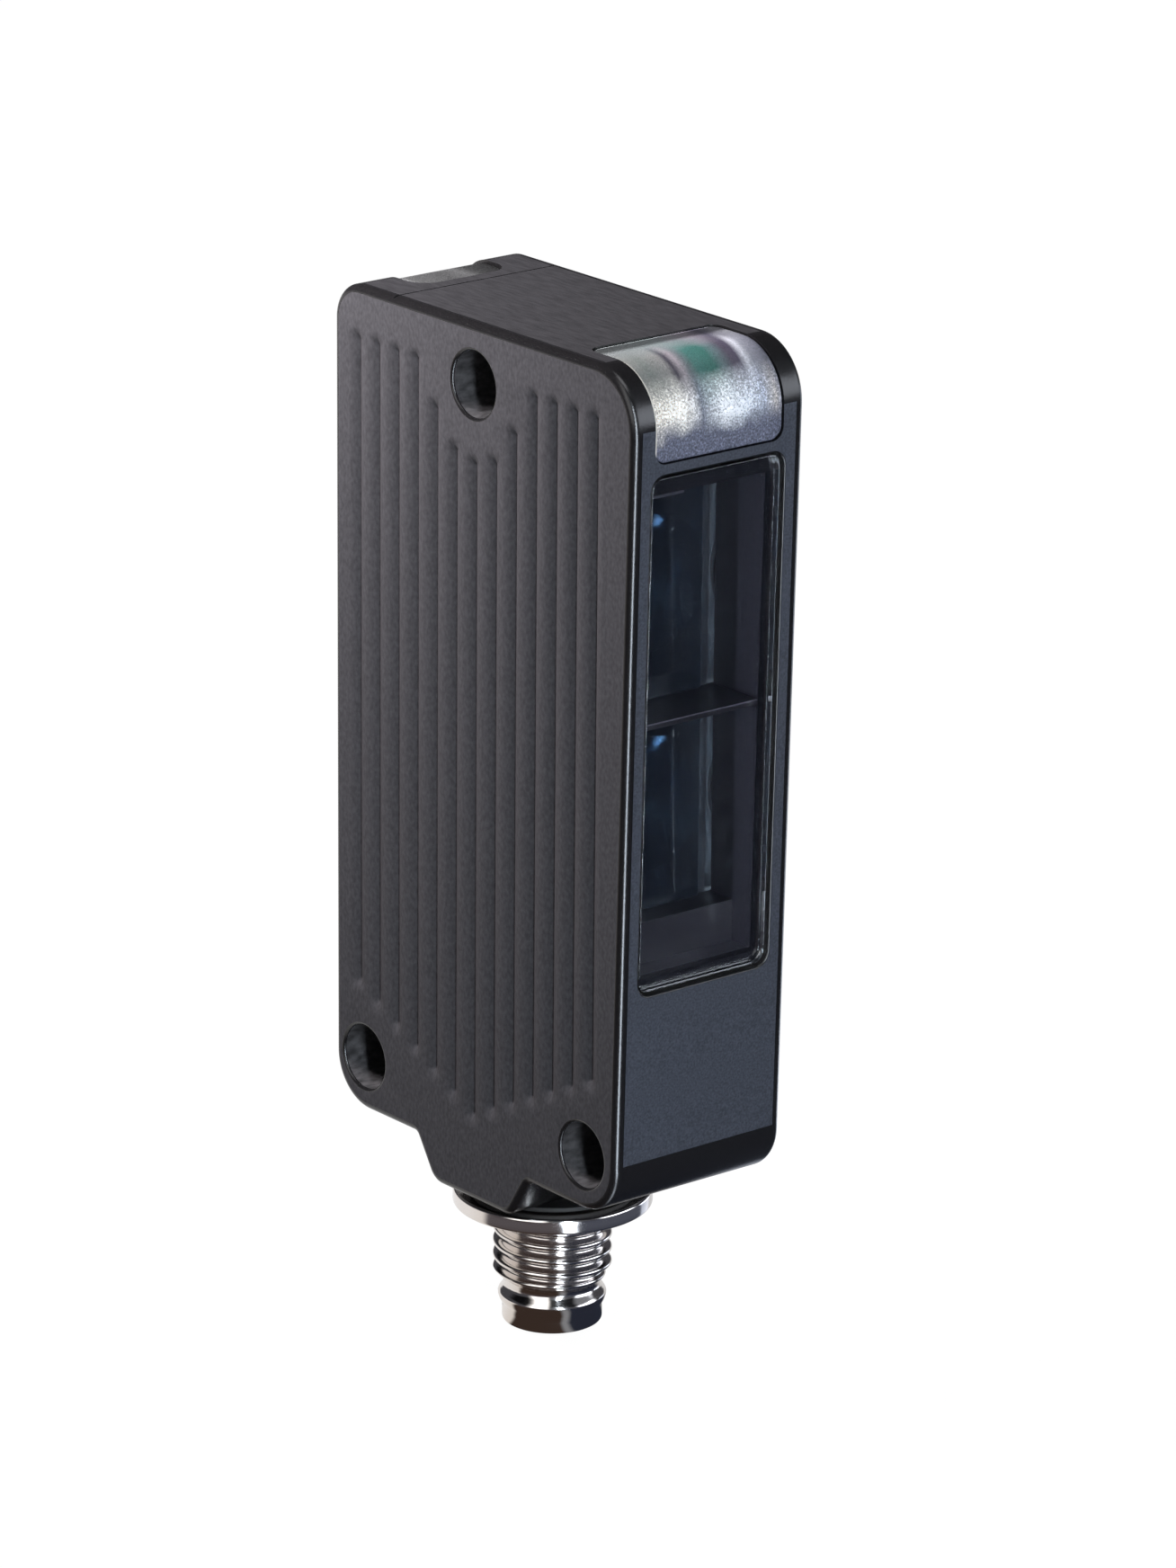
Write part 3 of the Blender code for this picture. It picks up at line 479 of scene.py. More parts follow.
def drilled_body():
    """The body block less its hollow, where the bosses stay, and less its openings and its seam."""
    blocks = [cutting_block("body", *body_block()), cutting_block("hollow", *cavity_block())]
    body, hollow = blocks
    for place in BORE_PLACES:
        blocks.append(cutting_block("boss", *rod_across(place, (BOSS, BOSS), (-HALF, HALF), 48)))
        cut(hollow, blocks[-1])
    cut(body, hollow)
    openings = [window_block()] + [bore_rod(place) for place in BORE_PLACES]
    for lens in (FRONT_LENS, REAR_LENS):
        openings.append(corner_lens(*lens, GAP, (-PAST, WALL + PAST), 0.0, rings=12))
    stem = [(0.0, STEM_HOLE_TOP), (STEM_HOLE, STEM_HOLE_TOP),
            (STEM_HOLE, STEM_HOLE_FOOT), (0.0, STEM_HOLE_FOOT)]
    openings.append(turned(stem, 64))
    seam = np.array([(SEAM - SEAM_HALF, SEAM_FLOOR), (SEAM + SEAM_HALF, SEAM_FLOOR),
                     (SEAM + SEAM_HALF, SEAM_OVER), (SEAM - SEAM_HALF, SEAM_OVER)])
    openings.append(lofted([np.column_stack([np.full(4, x), seam]) for x in (-HALF - PAST, HALF + PAST)]))
    for shape in openings:
        blocks.append(cutting_block("opening", *shape))
        cut(body, blocks[-1])
    depsgraph = bpy.context.evaluated_depsgraph_get()
    drilled = bpy.data.meshes.new_from_object(body.evaluated_get(depsgraph))
    for block in blocks:
        bpy.data.objects.remove(block)
    return drilled


def grooved_side(side, points, rim):
    """A side as points and triangles between its rim and its grooves, with the bores left open.

    A point stands at x = side (half thickness - depth of the grooves there).
    """
    own = rim[(points[rim[:, 0], 0] * side) > 0]
    corners, numbered = np.unique(own, return_inverse=True)
    flat_rim = points[corners][:, 1:]
    lattice, lattice_edges = groove_lattice()
    verts = np.concatenate([flat_rim, lattice])
    edges = np.concatenate([numbered.reshape(-1, 2), lattice_edges + len(flat_rim)])
    made = delaunay_2d_cdt(list(map(Vector, verts.tolist())), edges.tolist(), [], 1, 1e-5)
    spots = np.array([tuple(v) for v in made[0]])
    triangles = np.array(made[2])
    over_bore = [np.all(np.linalg.norm(spots[triangles] - place, axis=2) < BORE + BORE_LIP + NEAR, axis=1)
                 for place in BORE_PLACES]
    sunk = side * (HALF - groove_depth(spots[:, 0], spots[:, 1]))
    return np.column_stack([sunk, spots]), triangles[~np.any(over_bore, axis=0)]


def housing_mesh():
    """The drilled body, whose flat sides are taken off and grooved ones set into their rims."""
    drilled = drilled_body()
    points = points_of(drilled)
    flat = np.abs(np.abs(points[:, 0]) - HALF) < 0.0005
    shape = bmesh.new()
    shape.from_mesh(drilled)
    shape.verts.ensure_lookup_table()
    gone = [f for f in shape.faces if all(flat[v.index] for v in f.verts)]
    bmesh.ops.delete(shape, geom=gone, context="FACES_ONLY")
    rim = np.array([[v.index for v in e.verts] for e in shape.edges if e.is_boundary])
    bmesh.ops.triangulate(shape, faces=shape.faces)
    kept = [[v.index for v in f.verts] for f in shape.faces]
    shape.free()
    all_points, all_faces, used = [points], kept, len(points)
    for side in (-1, 1):
        spots, triangles = grooved_side(side, points, rim)
        all_points.append(spots)
        all_faces = all_faces + (triangles + used).tolist()
        used += len(spots)
    finishes = np.where(np.arange(len(all_faces)) < len(kept), ROUND, SIDE)
    return mesh_of("housing_body", np.concatenate(all_points), all_faces, finish_numbers=finishes)


def paint_housing(mesh):
    """Gives the panels, the roof and the bores their finish. Sides and roundings keep theirs."""
    count = len(mesh.polygons)
    normal, centre = np.zeros(count * 3), np.zeros(count * 3)
    choice = np.zeros(count, np.int32)
    mesh.polygons.foreach_get("normal", normal)
    mesh.polygons.foreach_get("center", centre)
    mesh.polygons.foreach_get("material_index", choice)
    normal, centre = normal.reshape(-1, 3), centre.reshape(-1, 3) * 1000 - ROW_SHIFT
    x, y, z = centre.T
    between = np.abs(x) < PANEL_HALF
    forward = np.array((0, -math.cos(SLOPE), -math.sin(SLOPE)))
    on_panel = between & (z > PANEL_FOOT)
    choice[on_panel & (normal @ forward > FACING) & (np.abs(y - front_at(z)) < NEAR)] = PANEL
    choice[on_panel & (normal[:, 1] > FACING) & (y > BACK - NEAR)] = PANEL
    choice[between & (normal[:, 2] > FACING) & (z > HEIGHT - NEAR)] = ROOF
    for place in BORE_PLACES:
        from_axis = np.hypot(y - place[0], z - place[1])
        choice[(np.abs(from_axis - BORE) < NEAR) & (np.abs(normal[:, 0]) < 0.1)] = BORE_WALL
    mesh.polygons.foreach_set("material_index", choice)


def shade_grooves(housing):
    """Leaves the grooves' own smooth shading as it is and evens out only the shading of the plain faces."""
    points = points_of(housing.data)
    in_side = np.abs(points[:, 0]) > HALF - GROOVE_DEPTH - 0.01
    grooved = in_side & (groove_depth(points[:, 1], points[:, 2]) > 1e-4)
    plain = housing.vertex_groups.new(name="plain_faces")
    plain.add(np.flatnonzero(~grooved).tolist(), 1.0, "REPLACE")
    housing.modifiers["even_shading"].vertex_group = plain.name


# Clear and frosted pieces
def pane_mesh():
    """The clear pane: a rounded rectangle on the leaning front with quarter-round edges."""
    half = WINDOW_HALF - PANE_GAP
    outline, outward = rounded_rectangle(-half, half, WINDOW_FOOT + PANE_GAP, WINDOW_TOP - PANE_GAP,
                                         WINDOW_CORNER - PANE_GAP)
    turn = np.linspace(0, math.pi / 2, 4)
    drawn_in, behind = PANE_EDGE * (1 - np.sin(turn)), PANE_EDGE * (1 - np.cos(turn))
    insets = np.concatenate([drawn_in, drawn_in[::-1]])
    depths = np.concatenate([behind, PANE_THICK - behind[::-1]])
    rows = []
    for inset, depth in zip(insets, depths):
        flat = outline - outward * inset
        rows.append(on_front(flat[:, 0], flat[:, 1], PANE_SINK + depth))
    return mesh_of("window_glass", *lofted(rows))


# Plug
def round_edge(radius, height, size, way):
    """A quarter round at an outer edge of the plug: below its height if way is -1, above it if way is 1."""
    turn = np.linspace(0, math.pi / 2, 5)
    ring = np.column_stack([radius - size + size * np.sin(turn), height + way * (size - size * np.cos(turn))])
    return ring if way < 0 else ring[::-1]


def plug_mesh():
    """The plug body: one closed profile turned about Z, with a helical thread.

    The thread lowers the radius by cut (0.5 - 0.5 cos(2 pi (z / pitch + turn))) to a power, faded out at both
    ends of its run.
    """
    thread = np.arange(COLLAR_FOOT - THREAD_START, THREAD_FOOT - THREAD_RUNOUT, -0.05)
    outer = np.concatenate([
        [(STEM, STEM_TOP), (STEM, COLLAR_TOP)],
        round_edge(COLLAR, COLLAR_TOP, PLUG_EDGE, -1), round_edge(COLLAR, COLLAR_FOOT, PLUG_EDGE, 1),
        [(NECK, COLLAR_FOOT)],
        np.column_stack([np.full(len(thread), THREAD), thread]), SNAP_LIP,
        round_edge(TIP, PLUG_FOOT, PLUG_EDGE, 1),
        [(BORE_PLUG, PLUG_FOOT), (BORE_PLUG, SHOULDER), (BORE_STEM, SHOULDER), (BORE_STEM, STEM_TOP)]])
    steps = 128
    points, faces = turned(outer, steps)
    cell = points.reshape(steps + 1, len(outer), 3)
    turn = np.linspace(0, 1, steps + 1)[:, None]
    radius = np.full(cell.shape[:2], 0.0) + outer[:, 0]
    z = cell[..., 2]
    run = (radius == THREAD) & (z < COLLAR_FOOT)
    start = np.clip((COLLAR_FOOT - THREAD_START - z) / THREAD_START, 0, 1)
    end = np.clip((z - (THREAD_FOOT - THREAD_RUNOUT)) / THREAD_RUNOUT, 0, 1)
    wave = 0.5 - 0.5 * np.cos(2 * math.pi * (z / THREAD_PITCH + turn))
    full = NECK + (THREAD - NECK) * np.minimum(start, end)
    cut_in = THREAD_CUT * wave ** THREAD_POWER
    threaded = np.where(run, np.maximum(full - cut_in * np.minimum(start, end), NECK), radius)
    angle = 2 * math.pi * turn
    cell = np.stack([threaded * np.cos(angle), threaded * np.sin(angle), z], axis=-1)
    return mesh_of("plug_body", cell.reshape(-1, 3), faces)


def merged_copy(node, finish, slot, sharp=30, edge=0.0):
    """A welded copy of a node of the part, smooth where it is round and with small rounds on its edges.

    The rounds come first and the even shading after them.
    """
    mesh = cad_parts[node].data.copy()
    mesh.name = f"{node}_smooth"
    shape = bmesh.new()
    shape.from_mesh(mesh)
    bmesh.ops.remove_doubles(shape, verts=shape.verts, dist=1e-6)
    bmesh.ops.dissolve_limit(shape, angle_limit=math.radians(1), verts=shape.verts, edges=shape.edges)
    shape.to_mesh(mesh)
    shape.free()
    if mesh.has_custom_normals:
        mesh.attributes.remove(mesh.attributes["custom_normal"])
    thing = piece(f"{node}_piece", mesh, finish, node, sharp)
    if edge:
        rounding = thing.modifiers.new("small_rounds", "BEVEL")
        rounding.width = edge * 0.001
        rounding.segments = 2
        rounding.limit_method = "ANGLE"
        rounding.angle_limit = math.radians(40)
        rounding.harden_normals = False
        thing.modifiers.move(1, 0)


def copies(finish, slot, *nodes, **rounding):
    """Merged copies of the nodes that share a finish."""
    for node in nodes:
        merged_copy(node, finish, slot, **rounding)


# Finishes
def shader_finish(name, colour, roughness, metallic=0.0, clear=0.0, ior=1.5):
    """A finish whose plain values stand on the shader itself."""
    finish = bpy.data.materials.new(name)
    finish.use_nodes = True
    shader = finish.node_tree.nodes["Principled BSDF"]
    shader.inputs["Base Color"].default_value = (*colour, 1.0)
    shader.inputs["Roughness"].default_value = roughness
    shader.inputs["Metallic"].default_value = metallic
    shader.inputs["Transmission Weight"].default_value = clear
    shader.inputs["IOR"].default_value = ior
    return finish, shader


def grain(finish, size, stretch=(1.0, 1.0, 1.0), detail=3.0, roughness=0.5):
    """Noise on the piece's own coordinates, whose features are about size millimetres across."""
    nodes, links = finish.node_tree.nodes, finish.node_tree.links
    place = nodes.new("ShaderNodeTexCoord")
    turn = nodes.new("ShaderNodeMapping")
    turn.inputs["Scale"].default_value = [1000 / size / s for s in stretch]
    noise = nodes.new("ShaderNodeTexNoise")
    noise.inputs["Scale"].default_value = 1.0
    noise.inputs["Detail"].default_value = detail
    noise.inputs["Roughness"].default_value = roughness
    links.new(place.outputs["Object"], turn.inputs["Vector"])
    links.new(turn.outputs["Vector"], noise.inputs["Vector"])
    return noise.outputs["Fac"]


def ramp(finish, source, stops):
    """A colour ramp over a source, with (place, value or colour) stops."""
    node = finish.node_tree.nodes.new("ShaderNodeValToRGB")
    while len(node.color_ramp.elements) < len(stops):
        node.color_ramp.elements.new(0.5)
    for element, (place, value) in zip(node.color_ramp.elements, stops):
        element.position = place
        element.color = (*value, 1.0) if isinstance(value, tuple) else (value, value, value, 1.0)
    finish.node_tree.links.new(source, node.inputs["Fac"])
    return node.outputs["Color"]


def along(finish, direction, start, end):
    """0 to 1 between two places, in millimetres, along a direction of the row frame."""
    nodes, links = finish.node_tree.nodes, finish.node_tree.links
    place = nodes.new("ShaderNodeTexCoord")
    dot = nodes.new("ShaderNodeVectorMath")
    dot.operation = "DOT_PRODUCT"
    dot.inputs[1].default_value = [1000.0 * d for d in direction]
    share = nodes.new("ShaderNodeMapRange")
    share.inputs["From Min"].default_value = start
    share.inputs["From Max"].default_value = end
    links.new(place.outputs["Object"], dot.inputs[0])
    links.new(dot.outputs["Value"], share.inputs["Value"])
    return share.outputs["Result"]


def blend(finish, way, share, first, second):
    """Two colours mixed in a given way by a share, which is a number or a source."""
    node = finish.node_tree.nodes.new("ShaderNodeMix")
    node.data_type = "RGBA"
    node.blend_type = way
    for socket, value in zip((node.inputs[0], node.inputs[6], node.inputs[7]), (share, first, second)):
        if isinstance(value, float):
            socket.default_value = value
        elif isinstance(value, tuple):
            socket.default_value = (*value, 1.0)
        else:
            finish.node_tree.links.new(value, socket)
    return node.outputs[2]


def bumps(finish, shader, source, height):
    """Small relief, height in millimetres, from a source."""
    node = finish.node_tree.nodes.new("ShaderNodeBump")
    node.inputs["Strength"].default_value = 1.0
    node.inputs["Distance"].default_value = height * 0.001
    finish.node_tree.links.new(source, node.inputs["Height"])
    finish.node_tree.links.new(node.outputs["Normal"], shader.inputs["Normal"])


def mixed(finish, share, first, second):
    """Two shaders mixed by a share, of which 0 shows the first and 1 the second."""
    node = finish.node_tree.nodes.new("ShaderNodeMixShader")
    for socket, source in zip(node.inputs, (share, first, second)):
        finish.node_tree.links.new(source, socket)
    return node.outputs["Shader"]


def let_lamps_through(finish, shader):
    """Rays from lamps pass a clear piece, so that they light what is behind it."""
    nodes = finish.node_tree.nodes
    path = nodes.new("ShaderNodeLightPath")
    through = nodes.new("ShaderNodeBsdfTransparent")
    shown = mixed(finish, path.outputs["Is Shadow Ray"], shader.outputs["BSDF"], through.outputs["BSDF"])
    finish.node_tree.links.new(shown, nodes["Material Output"].inputs["Surface"])


def moulded(name, colour, roughness, size, height, stretch=(1, 1, 1), sheen=0.5, spread=0.2):
    """Moulded black plastic with a fine ground texture, whose colour varies by a spread."""
    finish, shader = shader_finish(name, colour, roughness)
    shader.inputs["Specular IOR Level"].default_value = sheen
    fine = grain(finish, size, stretch)
    bumps(finish, shader, fine, height)
    low, high = (tuple(c * f for c in colour) for f in (1 - spread, 1 + spread))
    finish.node_tree.links.new(ramp(finish, fine, [(0.3, low), (0.7, high)]), shader.inputs["Base Color"])
    return finish


side_black = moulded("ground_black", (0.045, 0.0435, 0.047), 0.55, 0.22, 0.005, (1, 1, 1.6), 0.03)
round_black = moulded("polished_black", (0.008, 0.0075, 0.008), 0.27, 0.16, 0.006)
panel_black = moulded("textured_black", (0.044, 0.048, 0.062), 0.45, 0.15, 0.012, spread=0.45)
roof_black = moulded("roof_black", (0.027, 0.026, 0.028), 0.45, 0.25, 0.005, (1, 6, 1), 0.3)
bore_black = moulded("bore_black", (0.060, 0.058, 0.060), 0.35, 0.4, 0.04, (2, 1, 1), spread=0.5)
seal_black = moulded("glue_black", (0.005, 0.005, 0.006), 0.22, 0.4, 0.05, (1, 1, 2), sheen=0.2)
rubber_black = moulded("rubber_black", (0.010, 0.010, 0.010), 0.6, 0.3, 0.005)
insert_black = moulded("insert_black", (0.015, 0.015, 0.015), 0.45, 0.3, 0.003)
chip_black = moulded("chip_black", (0.012, 0.012, 0.013), 0.5, 0.1, 0.002)
board_green = moulded("board_green", (0.010, 0.075, 0.040), 0.35, 0.4, 0.002)


def holder():
    """Black holder of the optics, greyer on its walls near the window and painted dark deeper in as shade,
    with a painted highlight line along the front edge of its divider and painted shade just above and below
    it.

    Both are drawn in its skin, as ramps over depth and height.
    """
    finish, shader = shader_finish("holder_black", (0.008, 0.008, 0.010), 0.32)
    fine = grain(finish, 0.3)
    bumps(finish, shader, fine, 0.006)
    # Painted shade: the walls go dark deeper inside the holder and stay greyer near the window.
    dark = (0.0025, 0.0025, 0.0030)
    depth = ramp(finish, along(finish, (0.0, 1.0, 0.0), -13.9, -7.9), [
        (0.0, (0.021, 0.0195, 0.025)), (0.47, (0.021, 0.0195, 0.025)), (0.52, dark), (1.0, dark)])
    # Painted highlight line along the divider's front edge, with painted shade just above and below it.
    divider = ramp(finish, along(finish, (0.0, 0.0, 1.0), 44.0, 48.0), [
        (0.0, 1.0), (0.34, 1.0), (0.38, 0.15), (0.492, 0.15), (0.496, 3.0), (0.510, 3.0), (0.513, 0.10),
        (0.53, 0.10), (0.60, 1.0)])
    spots = ramp(finish, fine, [(0.3, 0.8), (0.7, 1.2)])
    shade = blend(finish, "MULTIPLY", 1.0, depth, divider)
    finish.node_tree.links.new(blend(finish, "MULTIPLY", 1.0, shade, spots), shader.inputs["Base Color"])
    return finish


def window_glass():
    """Clear pane with a faint waviness."""
    finish, shader = shader_finish("window_clear", (0.93, 0.95, 0.97), 0.03, clear=1.0, ior=1.49)
    bumps(finish, shader, grain(finish, 6.0), 0.002)
    let_lamps_through(finish, shader)
    return finish


def lens_clear():
    """Clear, slightly bluish plastic of the lens plates."""
    finish, shader = shader_finish("lens_clear", (0.62, 0.70, 0.78), 0.03, clear=1.0, ior=1.5)
    bumps(finish, shader, grain(finish, 5.0), 0.0005)
    let_lamps_through(finish, shader)
    return finish


def film_dark():
    """Dark film that lets some light through."""
    finish, shader = shader_finish("film_dark", (0.09, 0.125, 0.16), 0.05, clear=0.97, ior=1.35)
    bumps(finish, shader, grain(finish, 0.25, (3, 1, 1)), 0.0003)
    let_lamps_through(finish, shader)
    return finish


def frosted(name, colour):
    """Frosted plastic with a sparkling ground skin; also its fine grain, for the pattern beneath it."""
    finish, shader = shader_finish(name, colour, 0.38, clear=0.10, ior=1.5)
    fine = grain(finish, 0.14, detail=2.0, roughness=0.8)
    bumps(finish, shader, fine, 0.06)
    return finish, shader, fine


def indicator_frost():
    """The indicator lens: a grey left half, a dark and a light line, the green board and a painted highlight
    near its right side.

    Towards the foot of the corner a pale stripe of painted sheen and painted glints stands for the light that
    its frosted skin catches, and below it lies dark again. A painted highlight line runs along its left rim
    and along its rear edge, with a darker stripe behind the rear one. The pattern is drawn in the skin, as
    ramps across and down the lens.
    """
    finish, shader, fine = frosted("frosted_lens", (0.17, 0.18, 0.18))
    # Across the lens: what lies beneath it, with a painted highlight near its right side.
    inside_and_highlight = ramp(finish, along(finish, (1.0, -0.08, -0.08), -9.9, 0.5), [
        (0.0, (0.20, 0.20, 0.19)), (0.12, (0.15, 0.165, 0.155)), (0.26, (0.21, 0.205, 0.20)),
        (0.305, (0.050, 0.045, 0.060)), (0.36, (0.29, 0.26, 0.28)), (0.41, (0.12, 0.14, 0.15)),
        (0.47, (0.055, 0.145, 0.13)), (0.60, (0.04, 0.13, 0.11)), (0.675, (0.10, 0.14, 0.15)),
        (0.745, (0.075, 0.065, 0.09)), (0.80, (0.070, 0.060, 0.09)), (0.855, (0.55, 0.55, 0.60)),
        (0.90, (0.25, 0.25, 0.29)), (1.0, (0.13, 0.13, 0.16))])
    across = along(finish, (1.0, 0.0, 0.0), -LENS_HALF, LENS_HALF)
    rear = ramp(finish, across, [
        (0.0, (0.20, 0.21, 0.21)), (0.45, (0.20, 0.23, 0.23)), (0.70, (0.22, 0.20, 0.23)),
        (0.82, (0.07, 0.065, 0.09)), (0.95, (0.20, 0.20, 0.22))])
    # The pale stripe near the foot of the corner: painted sheen where the frosted skin catches the light.
    painted_sheen = ramp(finish, across, [
        (0.0, (0.75, 0.68, 0.60)), (0.22, (1.0, 0.94, 0.86)), (0.32, (0.60, 0.58, 0.58)),
        (0.375, (0.15, 0.16, 0.20)), (0.44, (0.42, 0.43, 0.46)), (0.56, (0.86, 0.86, 0.88)),
        (0.72, (0.68, 0.70, 0.75)), (0.86, (0.36, 0.38, 0.45)), (0.95, (0.46, 0.42, 0.40)),
        (1.0, (0.25, 0.25, 0.30))])
    down = along(finish, (0.0, -1.0, -1.0), -61.3, -48.9)
    wavy = blend(finish, "ADD", 1.0, ramp(finish, down, [(0.0, 0.0), (1.0, 1.0)]),
                 ramp(finish, grain(finish, 1.6), [(0.3, 0.0), (0.7, 0.07)]))
    colour = blend(finish, "MIX", ramp(finish, wavy, [(0.16, 0.0), (0.32, 1.0)]), rear, inside_and_highlight)
    colour = blend(finish, "MIX", ramp(finish, wavy, [(0.54, 0.0), (0.82, 1.0)]), colour, painted_sheen)
    foot = (0.10, 0.105, 0.145)
    colour = blend(finish, "MIX", ramp(finish, wavy, [(0.86, 0.0), (0.97, 1.0)]), colour, foot)
    # A painted highlight line along the rear edge, then a darker stripe.
    edge = ramp(finish, down, [(0.0, 2.0), (0.012, 2.0), (0.022, 0.22), (0.085, 0.25), (0.13, 1.0)])
    colour = blend(finish, "MULTIPLY", 1.0, colour, edge)
    # Fine random tone higher up, and painted glints of light in the pale stripe lower down.
    grain_and_glints = blend(finish, "MIX", ramp(finish, down, [(0.5, 0.0), (0.7, 1.0)]),
                    ramp(finish, fine, [(0.3, 0.75), (0.7, 1.25)]),
                    ramp(finish, fine, [(0.34, 0.50), (0.50, 1.25), (0.60, 1.95), (0.68, 3.3)]))
    colour = blend(finish, "MULTIPLY", 1.0, colour, grain_and_glints)
    # A painted highlight line along the left rim.
    rim = ramp(finish, across, [(0.0, 1.0), (0.008, 1.0), (0.014, 0.0)])
    colour = blend(finish, "MIX", rim, colour, (0.75, 0.70, 0.62))
    finish.node_tree.links.new(colour, shader.inputs["Base Color"])
    return finish


def pill_frost():
    """The small lens at the back: frosted, and darker towards its right end."""
    finish, shader, fine = frosted("frosted_pill", (0.12, 0.12, 0.12))
    across = ramp(finish, along(finish, (1.0, 0.0, 0.0), -PILL_HALF, PILL_HALF), [
        (0.0, 0.22), (0.10, 0.07), (0.45, 0.055), (0.62, 0.08), (0.75, 0.03), (1.0, 0.015)])
    spots = ramp(finish, fine, [(0.3, 0.6), (0.7, 1.5)])
    finish.node_tree.links.new(blend(finish, "MULTIPLY", 1.0, across, spots), shader.inputs["Base Color"])
    return finish


def nickel():
    """Bright nickel of the plug, faintly drawn round it."""
    finish, shader = shader_finish("nickel", (0.78, 0.74, 0.71), 0.13, metallic=1.0)
    bumps(finish, shader, grain(finish, 0.5, (1, 1, 0.2)), 0.002)
    return finish


def lamp(name, colour):
    """Tinted plastic of a lamp that is off."""
    finish, shader = shader_finish(name, colour, 0.3, clear=0.2)
    bumps(finish, shader, grain(finish, 0.3), 0.002)
    return finish


def gold():
    """Gold of the contact pins."""
    finish, shader = shader_finish("gold_contact", (0.85, 0.62, 0.28), 0.22, metallic=1.0)
    bumps(finish, shader, grain(finish, 0.3), 0.001)
    return finish


lens_plastic = lens_clear()
lamp_green = lamp("lamp_green", (0.05, 0.45, 0.28))
lamp_yellow = lamp("lamp_yellow", (0.75, 0.55, 0.08))

# The sensor
body = housing_mesh()
housing_finishes = [side_black, round_black, panel_black, roof_black, bore_black]
housing = piece("housing_body", body, housing_finishes, "housing")
paint_housing(body)
shade_grooves(housing)
piece("window_glass", pane_mesh(), window_glass(), "window_pane", 40)
for name, lens, sink, edge, frost, node in (
        ("indicator_cover", FRONT_LENS, LENS_SINK, LENS_EDGE, indicator_frost(), "indicator_lens"),
        ("rear_cover", REAR_LENS, PILL_SINK, PILL_EDGE, pill_frost(), "rear_lens")):
    plate = corner_lens(*lens, 0.0, (sink, sink + LENS_SKIN), edge)
    piece(name, mesh_of(name, *plate), frost, node, 40)
piece("plug_body", plug_mesh(), nickel(), "connector_shell", 50)
copies(holder(), "holder_black", "optics_holder", edge=0.06)
copies(seal_black, "glue", "window_seal")
copies(lens_plastic, "clear_pane", "receiver_lens", "emitter_lens")
copies(film_dark(), "polarising_film", "receiver_polarizer", "emitter_polarizer")
copies(insert_black, "holder_black", "connector_insert", edge=0.05)
copies(rubber_black, "black_rubber", "connector_seal", edge=0.05)
copies(gold(), "gold_contact", "pin_1", "pin_2", "pin_3", "pin_4", sharp=50)
copies(board_green, "board_green", "optics_board", "indicator_board", "main_board")
copies(chip_black, "chip_black", "board_header", "controller_ic", "output_driver", "receiver_diode")
copies(lens_plastic, "clear_pane", "emitter_led")
copies(lamp_green, "lamp_green", "power_led")
copies(lamp_yellow, "lamp_yellow", "output_led")
copies(lamp_green, "lamp_green", "rear_led")


# Floor, lamps and camera
def worked_out(finish, way, first, second):
    """Two values joined by a calculation and kept between 0 and 1."""
    node = finish.node_tree.nodes.new("ShaderNodeMath")
    node.operation = way
    node.use_clamp = True
    for socket, value in zip(node.inputs, (first, second)):
        if isinstance(value, float):
            socket.default_value = value
        else:
            finish.node_tree.links.new(value, socket)
    return node.outputs[0]


def plain_and_mirrored(finish):
    """Whether a ray from the camera came straight or through clear pieces, and whether it was mirrored."""
    path = finish.node_tree.nodes.new("ShaderNodeLightPath").outputs
    straight = worked_out(finish, "ADD", path["Is Camera Ray"], path["Is Transmission Ray"])
    turned_away = worked_out(finish, "ADD", path["Glossy Depth"], path["Diffuse Depth"])
    plain = worked_out(finish, "SUBTRACT", straight, turned_away)
    mirrored = worked_out(finish, "SUBTRACT", path["Glossy Depth"], path["Diffuse Depth"])
    return plain, mirrored


def place_and_turn(finish):
    """A point's place, and its turn about the sensor: 0 at -X, 0.25 at -Y, 0.5 at +X and 0.75 at +Y."""
    place = finish.node_tree.nodes.new("ShaderNodeTexCoord")
    turn = finish.node_tree.nodes.new("ShaderNodeTexGradient")
    turn.gradient_type = "RADIAL"
    finish.node_tree.links.new(place.outputs["Object"], turn.inputs["Vector"])
    return place.outputs["Object"], turn.outputs["Fac"]


def glow(finish, kind, strength, colour):
    """A shader that gives off light of its own, in a plain colour or one from a source."""
    node = finish.node_tree.nodes.new(kind)
    node.inputs["Strength"].default_value = strength
    if isinstance(colour, tuple):
        node.inputs["Color"].default_value = (*colour, 1.0)
    else:
        finish.node_tree.links.new(colour, node.inputs["Color"])
    return node.outputs[0]


